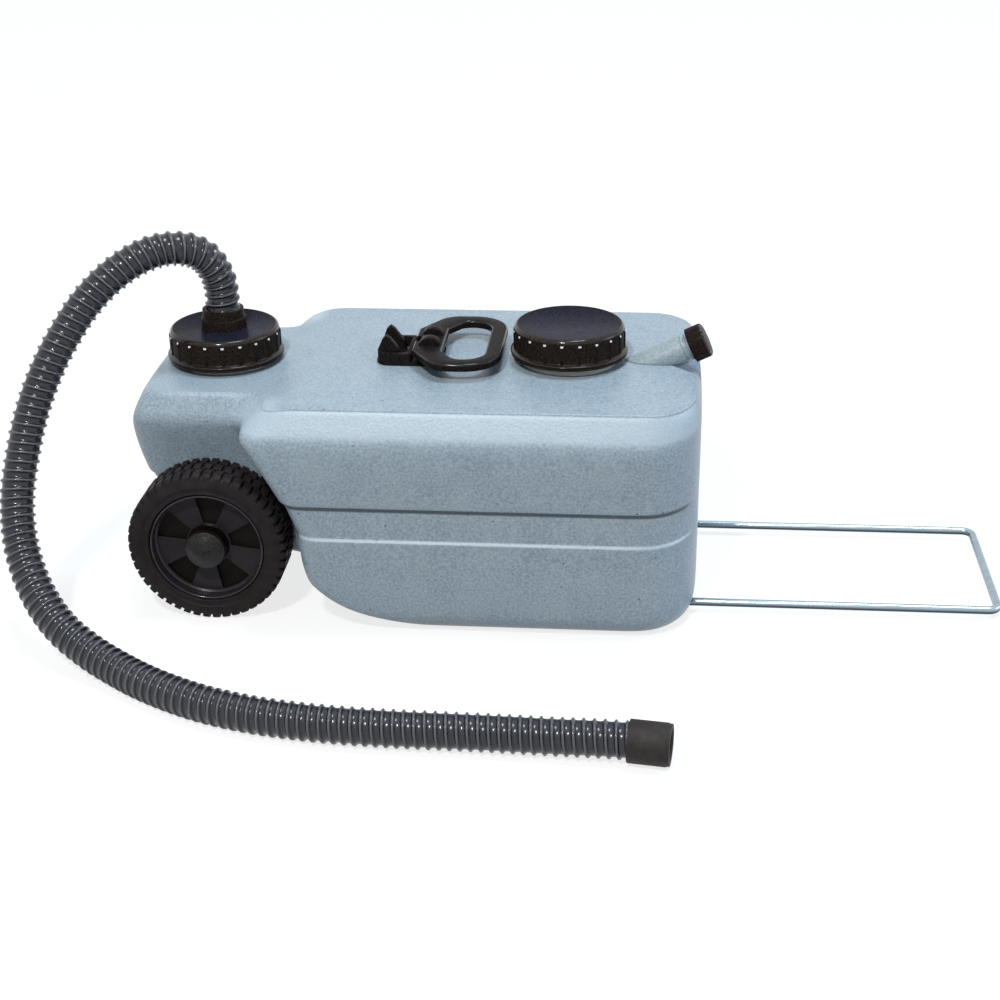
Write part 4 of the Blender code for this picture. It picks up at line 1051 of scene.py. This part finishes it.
# %% Spout
SPOUT_R = 0.0132
SPOUT_END_R = SPOUT_R - 0.0014
SPOUT_BORE_R = SPOUT_R - 0.0030
SPOUT_TURN = Matrix.Rotation(math.radians(90) - SPOUT_TILT, 4, "Y")
spout_wall = [(SPOUT_BORE_R, -0.030), (SPOUT_R + 0.0010, -0.078), (SPOUT_R + 0.0012, -0.0205),
              (SPOUT_R + 0.0004, -0.0197), (SPOUT_END_R, -0.0195), (SPOUT_END_R, 0.0),
              (SPOUT_BORE_R, 0.0)]
spout = soften(lathe(spout_wall, 64), 0.0004, 2)
add_form(spout, screw_ridge(SPOUT_END_R, 0.0019, 0.0028, 2.6, -0.0172, 36))

spout_finish = Finish("warm_grey_polyethylene_spout", specular=0.4)
fine = spout_finish.grain(430.0, 3.0)
# The spout's colour is a little warmer and less blue than the tank's.
colour = fine.step(0.32, 0.68).blend((0.250, 0.308, 0.335), (0.385, 0.455, 0.480))
# Painted shade along the line where the spout comes out of the deck.
painted_contact_shade = spout_finish.axis(2).near(DECK_Z, 0.0004, 0.0016)
spout_finish.wear((painted_contact_shade * 0.6).blend(colour, (0.10, 0.12, 0.14)), 0.42, fine.bump(0.0003))
finished("spout_neck", placed(spout, SPOUT_MOUTH, SPOUT_TURN), spout_finish, "tank",
         ["tank_shell"])

# %% [markdown]
# ## Wide screw caps
#
# The two wide caps share one form: a flat top in a low rim, a skirt with twenty narrow ribs for
# the hand, and a flange at the bottom. The skirt is spun with six faces to each rib, one face of
# the six is pulled out as the rib, and the rib's upper end is drawn down to a slope. That slope is
# painted pale as a highlight, and its coat catches the light. `store` keeps a number on each face
# for the finish: where the flat top is, which is painted bluer as a sheen, where edges are rubbed
# and where the ribs' tips are.

# %% Wide screw caps
CAP_R = 0.0555
CAP_FLANGE_R = 0.0580
CAP_H = 0.0305
CAP_RIBS = 20
RIB_FACES = 6
RIB_OUT, RIB_DRAW = 0.0011, 0.0016      # how far a rib stands out, and its end is drawn down
RIB_UPPER = -0.010                      # above this height is the rib's upper end
SKIRT_R, SKIRT_TOP = CAP_R - RIB_OUT, -0.0050
CAP_INNER_R, CAP_UNDER = 0.0490, -0.0032

cap_plastic = Finish("black_screw_cap_plastic", specular=0.02)
fine = cap_plastic.grain(480.0, 3.0)
cloud = cap_plastic.grain(60.0)
speckle = fine.step(0.38, 0.62)
colour = speckle.blend((0.0120, 0.0082, 0.0062), (0.0270, 0.0200, 0.0165))
# Painted sheen: the flat tops are painted bluer, as the sky's reflection on them.
painted_blue_sheen = speckle.blend((0.0060, 0.0060, 0.0098), (0.0240, 0.0250, 0.0450))
colour = cap_plastic.stored("dust_and_painted_sheen").blend(colour, painted_blue_sheen)
# Painted highlight: the ribs' upper slopes are painted near white.
colour = (cap_plastic.stored("painted_tip_highlight") * 0.9).blend(colour, (0.75, 0.75, 0.77))
cap_plastic.wear(colour, 0.26 + cloud * 0.12, fine.bump(0.0002), cap_plastic.stored("rubbed"))


def store(bm, name, share):
    """Stores a number on each face. share gives it from the face's radius, height and tilt."""
    layer = bm.faces.layers.float.new(name)
    bm.normal_update()
    for face in bm.faces:
        centre = face.calc_center_median()
        face[layer] = float(share(math.hypot(centre.x, centre.y), centre.z, face.normal.z))


def slanting(radius, height, tilt):
    """Whether a face leans, as the rounded edges do."""
    return 0.2 < tilt < 0.97


def wide_cap(name, node, body, hole, rib_face):
    """One wide screw cap in the place of its CAD node, with a round hole or none.

    Each rib's share of the skirt has six faces, and rib_face says which of them is the rib."""
    low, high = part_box(node)
    foot, flange = -CAP_H, -CAP_H + 0.0052
    outside = [(CAP_INNER_R, foot), (CAP_FLANGE_R - 0.0012, foot),
               (CAP_FLANGE_R - 0.0004, foot + 0.0008), (CAP_FLANGE_R - 0.0010, foot + 0.0020),
               (CAP_FLANGE_R, foot + 0.0028), (CAP_FLANGE_R, flange - 0.0006),
               (CAP_FLANGE_R - 0.0008, flange), (SKIRT_R + 0.0003, flange + 0.0008),
               (SKIRT_R, flange + 0.0016), (SKIRT_R, SKIRT_TOP), (SKIRT_R - 0.0001, -0.0036),
               (SKIRT_R - 0.0012, -0.0012), (SKIRT_R - 0.0032, 0.0), (SKIRT_R - 0.0050, -0.0001),
               (SKIRT_R - 0.0062, -0.0007)]
    inside = (CAP_INNER_R, CAP_UNDER)
    if hole:
        profile = outside + [(hole, -0.0007), (hole, CAP_UNDER), inside]
    else:
        profile = [(0, CAP_UNDER), inside] + outside + [(0, -0.0007)]
    bm = lathe(profile, CAP_RIBS * RIB_FACES, closed=hole > 0)
    ribs = []
    for face in bm.faces:
        centre = face.calc_center_median()
        radius, turn = around(centre)
        on_skirt = flange + 0.0016 < centre.z < SKIRT_TOP and radius > SKIRT_R - 0.001
        if on_skirt and int(turn * CAP_RIBS % 1.0 * RIB_FACES) == rib_face:
            ribs.append(face)
    pulled = bmesh.ops.extrude_discrete_faces(bm, faces=ribs)["faces"]
    for v in {v for face in pulled for v in face.verts}:
        push_out(v, RIB_OUT)
        if v.co.z > RIB_UPPER:
            v.co.z -= RIB_DRAW
    soften(bm, 0.0004, 2, 38)
    # The flat top is marked for its painted sheen, and the ribs' upper slopes for their painted
    # highlight.
    store(bm, "dust_and_painted_sheen", lambda radius, _, tilt: radius < SKIRT_R - 0.0030 and tilt > 0.9)
    store(bm, "painted_tip_highlight", lambda radius, height, tilt:
          radius > SKIRT_R + 0.0002 and -0.0075 < height < -0.0045 and 0.15 < tilt < 0.95)
    store(bm, "rubbed", lambda radius, _, tilt: radius > SKIRT_R - 0.0050 and 0.2 < tilt < 0.97)
    placed(bm, ((low.x + high.x) / 2, 0, high.z))
    finished(name, bm, cap_plastic, body, [node])


SOCKET_R = HOSE_R + 0.0003
SOCKET_WALL = 0.0044
wide_cap("wide_blank_cap", "blank_cap", "blank_screw_cap", 0.0, 4)
wide_cap("wide_hose_cap", "hose_cap", "hose_screw_cap", SOCKET_R + SOCKET_WALL + 0.0003, 3)

# %% [markdown]
# ## Hose socket
#
# The hose ends in a stepped socket that stands up through the hose cap's ring. It is turned from
# one profile, with a wide flange that the ring clamps down.

# %% Hose socket
SOCKET_TALL = 0.0168
SOCKET_FLANGE_R = 0.0458
socket_low, socket_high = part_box("hose_spigot")
socket_base = socket_high.z - SOCKET_TALL
foot = socket_low.z - socket_base
outer = SOCKET_R + SOCKET_WALL
half = SOCKET_TALL * 0.45
rim_r = HOSE_ROOT_R + 0.0006
socket_profile = [(HOSE_BORE_R, foot), (SOCKET_FLANGE_R, foot), (SOCKET_FLANGE_R, foot + 0.0025),
                  (outer, foot + 0.0025), (outer, half), (outer - 0.0016, half + 0.0006),
                  (outer - 0.0016, SOCKET_TALL), (rim_r, SOCKET_TALL),
                  (rim_r, SOCKET_TALL - 0.0012), (SOCKET_R, SOCKET_TALL - 0.0024),
                  (SOCKET_R, 0.0030), (HOSE_BORE_R, 0.0030)]
socket = soften(lathe(socket_profile, 96), 0.0005, 3)
placed(socket, ((socket_low.x + socket_high.x) / 2, 0, socket_base))
finished("hose_socket", socket, cap_plastic, "hose_fitting", ["hose_spigot"])

# %% [markdown]
# ## Small spout cap
#
# The spout's cap is a small black cap with eight flats and a groove between each two of them.

# %% Small spout cap
SMALL_R, SMALL_BORE_R = 0.0172, 0.0147
SMALL_H, SMALL_TOP = 0.0170, 0.0044
FLATS = 8
FLAT_GROOVE, GROOVE_SHARE = 0.0010, 0.07
small_profile = [(0, SMALL_TOP - 0.0026), (SMALL_BORE_R, SMALL_TOP - 0.0026),
                 (SMALL_BORE_R, SMALL_TOP - SMALL_H), (SMALL_R, SMALL_TOP - SMALL_H),
                 (SMALL_R, SMALL_TOP - 0.0022), (SMALL_R - 0.0006, SMALL_TOP - 0.0008),
                 (SMALL_R - 0.0022, SMALL_TOP), (0, SMALL_TOP)]
small = lathe(small_profile, FLATS * 8, closed=False)
for v in small.verts:
    radius, turn = around(v.co)
    if radius > SMALL_R - 0.0023 and from_whole(turn * FLATS) < GROOVE_SHARE:
        push_out(v, -FLAT_GROOVE)
soften(small, 0.0003, 2, 24)
store(small, "rubbed", slanting)
finished("small_spout_cap", placed(small, SPOUT_MOUTH, SPOUT_TURN), cap_plastic, "spout_screw_cap",
         ["spout_cap"])

# %% [markdown]
# ## Wheels
#
# Each wheel is a black plastic rim with five wide spokes and a block-tread rubber tyre. The tyre is
# spun with three faces to each tread block. Two of the three are pulled out as the block, row by
# row, and each row is turned by half a block against the next. The rim's finish paints all that
# lies below the spoke faces near black as shade, in the recesses between them and round the hub,
# and tells them apart by their depth.

# %% Wheels
WHEEL_X = -0.1995 + MIDDLE.x
WHEEL_R, WHEEL_W, WHEEL_OUT = 0.0786, 0.0440, 0.1372
RIM_R, HUB_R = 0.0562, 0.0200
RIM_DISH = 0.0129
TREAD = 0.0034
BLOCKS = 48
GROOVE_ROWS, SHIFTED_ROW, SHOULDER_ROW = (2, 4), 3, 5   # rows between the edges, counted from 0
SPOKES = 5
WINDOW_TURN = 0.16              # how far the first recess is turned, counted in spokes
HALF_WHEEL = WHEEL_W / 2
SPOKE_FACE = WHEEL_OUT - RIM_DISH

tyre_rubber = Finish("block_tread_rubber", specular=0.14)
dust_and_painted_sheen = tyre_rubber.grain(90.0, 4.0)
colour = dust_and_painted_sheen.step(0.35, 0.75).blend((0.013, 0.0095, 0.009), (0.028, 0.0225, 0.025))
tyre_rubber.wear(colour, 0.45 + dust_and_painted_sheen * 0.3, tyre_rubber.grain(600.0).bump(0.0002))

rim_plastic = Finish("black_wheel_rim_plastic", specular=0.14)
fine = rim_plastic.grain(420.0, 3.0)
on_face = abs(rim_plastic.axis(1)).step(SPOKE_FACE - 0.0020, SPOKE_FACE - 0.0004)
along, up = rim_plastic.axis(0) - WHEEL_X, rim_plastic.axis(2) - WHEEL_R
from_axle = (along * along + up * up) ** 0.5
outside_painted_shade = on_face * from_axle.step(HUB_R + 0.0004, HUB_R + 0.0014)
colour = fine.blend((0.016, 0.012, 0.015), (0.032, 0.026, 0.034))
# Painted shade: all that lies below the spoke faces, and the ring round the hub, is near black.
rim_plastic.wear(outside_painted_shade.blend((0.0035, 0.0022, 0.0014), colour), 0.60 - on_face * 0.30,
                 fine.bump(0.0002), from_axle.step(RIM_R - 0.0045, RIM_R - 0.0035))

hub_plastic = Finish("hub_cap_plastic_dome", specular=0.2)
fine = hub_plastic.grain(420.0, 4.0)
colour = fine.step(0.35, 0.65).blend((0.008, 0.0068, 0.0068), (0.026, 0.0235, 0.0245))
hub_plastic.wear(colour, 0.26 + fine * 0.16, fine.bump(0.0003))


def tyre_form():
    """A tyre about Z, its outer side up."""
    road = WHEEL_R - TREAD
    top = HALF_WHEEL
    rows = [-top + 0.0010, -top + 0.0115, -top + 0.0135, 0.0035, 0.0055, top - 0.0050]
    shoulder = (road - 0.0022, top - 0.0016)
    sidewall = [(RIM_R + 0.0135, top - 0.0004), (RIM_R + 0.0095, top),
                (RIM_R + 0.0080, top - 0.0002), (RIM_R + 0.0070, top - 0.0014),
                (RIM_R + 0.0034, top - 0.0016), (RIM_R + 0.0026, top - 0.0008),
                (RIM_R + 0.0014, top - 0.0010), (RIM_R + 0.0003, top - 0.004)]
    inside = [(RIM_R + 0.0003, -top + 0.004), (RIM_R + 0.0040, -top), (road - 0.0030, -top)]
    bm = lathe(inside + [(road, z) for z in rows] + [shoulder] + sidewall, BLOCKS * 3)
    edges = rows + [shoulder[1]]
    groups = {}
    for face in bm.faces:
        centre = face.calc_center_median()
        radius, turn = around(centre)
        row = sum(1 for z in edges if z < centre.z)
        if radius < road - 0.0018 or row in GROOVE_ROWS:
            continue
        place = turn * BLOCKS + (0.5 if row == SHIFTED_ROW else 0.0) + 0.001
        if place % 1.0 < 2 / 3:
            groups.setdefault((min(row, SHOULDER_ROW), math.floor(place)), []).append(face)
    for faces in groups.values():
        for v in extruded(bm, faces):
            push_out(v, TREAD - 0.0002)
        bmesh.ops.delete(bm, geom=faces, context="FACES_KEEP_BOUNDARY")
    return soften(bm, 0.0004, 1, 40)


def fan(radius, middle, spread, steps):
    """Points on an arc about the axis, from one end of a spread to the other."""
    angles = [middle + spread * (2 * i / steps - 1) for i in range(steps + 1)]
    return [(radius * math.cos(a), radius * math.sin(a)) for a in angles]


def rim_form():
    """A rim about Z, its outer side up, with a closed recess between each two spokes."""
    top = HALF_WHEEL
    web = top - RIM_DISH
    back = web - 0.0078
    dish = RIM_R - 0.0035
    profile = [(0.0048, -top + 0.0005), (HUB_R * 0.7, -top + 0.0005), (HUB_R * 0.8, back),
               (dish, back), (RIM_R - 0.0030, -top + 0.004), (RIM_R, -top + 0.004),
               (RIM_R, top - 0.0040), (RIM_R - 0.0004, top - 0.0022),
               (RIM_R - 0.0016, top - 0.0014), (RIM_R - 0.0026, top - 0.0026),
               (dish + 0.0004, web + 0.0016), (dish - 0.0012, web), (HUB_R + 0.0008, web),
               (HUB_R, web + 0.0008), (HUB_R, top), (0.0048, top)]
    rim = plain_object("rim", lathe(profile, 120))
    spread = math.pi / SPOKES * 0.50
    for k in range(SPOKES):
        middle = 2 * math.pi * (k + WINDOW_TURN) / SPOKES
        outline = fan(RIM_R - 0.0056, middle, spread, 16)
        outline += fan(HUB_R + 0.0020, middle, -spread * 0.92, 8)
        cut(rim, plate(outline, web - 0.0052, web + 0.01))
    bm = form_of(rim, remove=True)
    merge(bm, 2e-5)
    return soften(bm, 0.0004, 2, 50)


def hub_form():
    """A domed hub cap about Z, its base at 0."""
    base_r, slim_r, dome_start = 0.0192, 0.0103, 46
    dome = arc(0.0, -0.0140, base_r / math.cos(math.radians(41)), 0.0235, dome_start, 90, 10)
    profile = [(0, 0.0075), (slim_r, 0.0062), (slim_r, 0.0), (base_r - 0.0006, 0.0),
               (base_r, 0.0006), (base_r, 0.0030)] + dome[1:-1] + [(0.0, dome[-1][1])]
    return soften(lathe(profile, 96, closed=False), 0.0004, 2, 35)


for name, side in SIDES.items():
    turn = Matrix.Rotation(math.radians(90 * -side), 4, "X")
    body = f"{name}_wheel"
    at = (WHEEL_X, side * (WHEEL_OUT - HALF_WHEEL), WHEEL_R)
    finished(f"{name}_tread_tyre", placed(tyre_form(), at, turn), tyre_rubber, body,
             [f"{name}_tyre"], 30)
    finished(f"{name}_spoked_rim", placed(rim_form(), at, turn), rim_plastic, body,
             [f"{name}_wheel_rim"])
    hub = f"{name}_hub_cap"
    low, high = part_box(hub)
    at = (WHEEL_X, low.y if side > 0 else high.y, WHEEL_R)
    finished(f"{name}_hub_dome", placed(hub_form(), at, turn), hub_plastic,
             frame["nodes"][hub]["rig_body"], [hub])

# %% [markdown]
# ## Pull handle
#
# The pull handle is one piece of zinc-plated wire, bent twice. The same tube helper makes it, along
# points with finer bends than the CAD model has. Drawing marks run along the wire as fine streaks.
# A dark band is painted just below the middle of the wire's sides as a reflection, and the top
# stays bright.

# %% Pull handle
WIRE_R = 0.0040
zinc = Finish("bright_drawn_zinc", metallic=1.0)
streaks = zinc.grain(260.0, 3.0, stretch=(0.06, 1.0, 1.0))
wire_side = zinc.axis(2) - HANDLE_Z
# Painted reflection: a dark band just below the middle of the wire.
painted_dark_reflection = wire_side.step(WIRE_R * 0.45, -WIRE_R * 0.15) * wire_side.step(-WIRE_R, -WIRE_R * 0.55)
bright = streaks.blend((0.25, 0.33, 0.39), (0.46, 0.57, 0.64))
zinc.wear(painted_dark_reflection.blend(bright, (0.050, 0.062, 0.072)), 0.16 + zinc.grain(45.0) * 0.18,
          streaks.bump(0.00006))

HANDLE_END = 0.5722 + MIDDLE.x
BEND = 0.0110
leg_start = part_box("pull_handle")[0].x
wire_points = [(leg_start + 0.0008, HANDLE_Y), (leg_start + 0.3, HANDLE_Y)]
wire_points += arc(HANDLE_END - BEND, HANDLE_Y - BEND, BEND, BEND, 90, 0, 16)
wire_points += [(x, -y) for x, y in reversed(wire_points)]
wire_line = [Vector((x, y, HANDLE_Z)) for x, y in wire_points]
handle = tube_object("wire_pull_handle", wire_line, WIRE_R, 28)
bar = form_of(handle)
close_ends(bar)
form_into(outward(soften(bar, 0.0005, 2, 60)), handle)
finish_object(handle, zinc, "handle", ["pull_handle"], angle=50)

# %% [markdown]
# ## Carry grip
#
# The grip is moulded in black plastic: a foot with two horns that a cord can be laid over, and a
# loop for the hand. The loop is a ring between two rounded outlines with the same number of points,
# so `bridge_loops` joins them with even faces. It is then extruded and rounded all along. Two
# half-round knuckles stand beside its hinge.

# %% Carry grip
GRIP_X = 0.0050 + MIDDLE.x
PIN_Z = DECK_Z + 0.0145
LOOP_T = 0.0084
LOOP_BACK, LOOP_REACH, LOOP_HALF_W, LOOP_BAR = 0.0112, 0.0780, 0.0710, 0.0165
HOLE_START = 0.0190
ARCH_R, ARCH_X, ARCH_IN, ARCH_W = 0.0118, 0.0052, 0.0085, 0.0115
NOTCH_START, NOTCH_END, NOTCH_HALF_W = -0.03, 0.0078, 0.0075

grip_plastic = Finish("black_grip_plastic_gloss", specular=0.02)
fine = grip_plastic.grain(450.0, 3.0)
colour = fine.step(0.36, 0.64).blend((0.0085, 0.0066, 0.0058), (0.0195, 0.0160, 0.0170))
grip_plastic.wear(colour, 0.22 + grip_plastic.grain(80.0, 3.0) * 0.12, fine.bump(0.00016),
                  grip_plastic.stored("rubbed"))


def outline_edges(bm, corners, z):
    """The edges of a rounded outline that is the same on both sides of the X axis."""
    mirrored = [(x, -y, r) for x, y, r in corners]
    outline = rounded(mirrored + corners[::-1], 10)
    return edge_ring(bm, [(x, y, z) for x, y in outline])[1]


def loop_ring():
    """The loop about its hinge: a ring between two outlines, rounded all along."""
    hole_half = LOOP_HALF_W - LOOP_BAR
    outer = [(-LOOP_BACK, 0.030, 0.005), (0.014, LOOP_HALF_W, 0.026),
             (LOOP_REACH, LOOP_HALF_W, 0.036)]
    inner = [(HOLE_START, hole_half - 0.0215, 0.005), (HOLE_START + 0.014, hole_half, 0.012),
             (LOOP_REACH - LOOP_BAR, hole_half, 0.020)]
    bm = bmesh.new()
    edges = outline_edges(bm, outer, -LOOP_T / 2) + outline_edges(bm, inner, -LOOP_T / 2)
    bmesh.ops.bridge_loops(bm, edges=edges)
    tops = extruded(bm, list(bm.faces), keep=True)
    bmesh.ops.translate(bm, verts=tops, vec=(0, 0, LOOP_T))
    soften(outward(bm), 0.0028, 4, 60)
    store(bm, "rubbed", slanting)
    return bm


def arch(y):
    """A half-round knuckle beside the hinge, standing across the loop."""
    bow = [(x, -z) for x, z in arc(ARCH_X, 0.0, ARCH_R, ARCH_R, 6, 174, 24)]
    form = soften(plate(bow, 0, ARCH_W), 0.0010, 3, 40)
    return placed(form, (0, y, 0), Matrix.Rotation(math.radians(-90), 4, "X"))


loop = plain_object("loop", loop_ring())
cut(loop, plate(rectangle(NOTCH_START, -NOTCH_HALF_W, NOTCH_END, NOTCH_HALF_W), -0.02, 0.02))
bm = form_of(loop, remove=True)
for y in (-ARCH_IN - ARCH_W, ARCH_IN):
    add_form(bm, arch(y))
placed(bm, (GRIP_X, 0, PIN_Z))
finished("carry_loop_ring", bm, grip_plastic, "carry_loop", ["grip_loop"])

grip_base = soften(merged_copy("grip_base"), 0.0006, 2, 35)
finished("cradle_base", grip_base, grip_plastic, "tank", ["grip_base"])

# %% [markdown]
# ## Small fittings
#
# Axle, clips, stops, guides, pins, screws and seals keep their CAD form, in a merged copy with its
# edges rounded a little. Each takes the finish of its own material. The two screws in the grip are
# dark steel.

# %% Small fittings
dark_steel = Finish("dark_steel_screws", metallic=1.0)
fine = dark_steel.grain(500.0, 3.0)
dark_steel.wear(fine.blend((0.020, 0.020, 0.022), (0.070, 0.072, 0.080)), 0.35 + fine * 0.2,
                fine.bump(0.0001))
fitting_finishes = {"zinc": zinc, "seal": rubber, "rim": rim_plastic, "grip": grip_plastic,
                    "cap": cap_plastic}
slot_of = {row["node"]: row["material_slot"] for row in frame["record"]["subparts"]}
for node in sorted(frame["nodes"]):
    if frame["nodes"][node].hide_render:
        continue
    slot = slot_of[node]
    finish = dark_steel if "screw" in node else fitting_finishes[slot]
    finished(f"{node}_rounded", soften(merged_copy(node), 0.0003, 2, 35), finish,
             frame["nodes"][node]["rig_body"], [node])
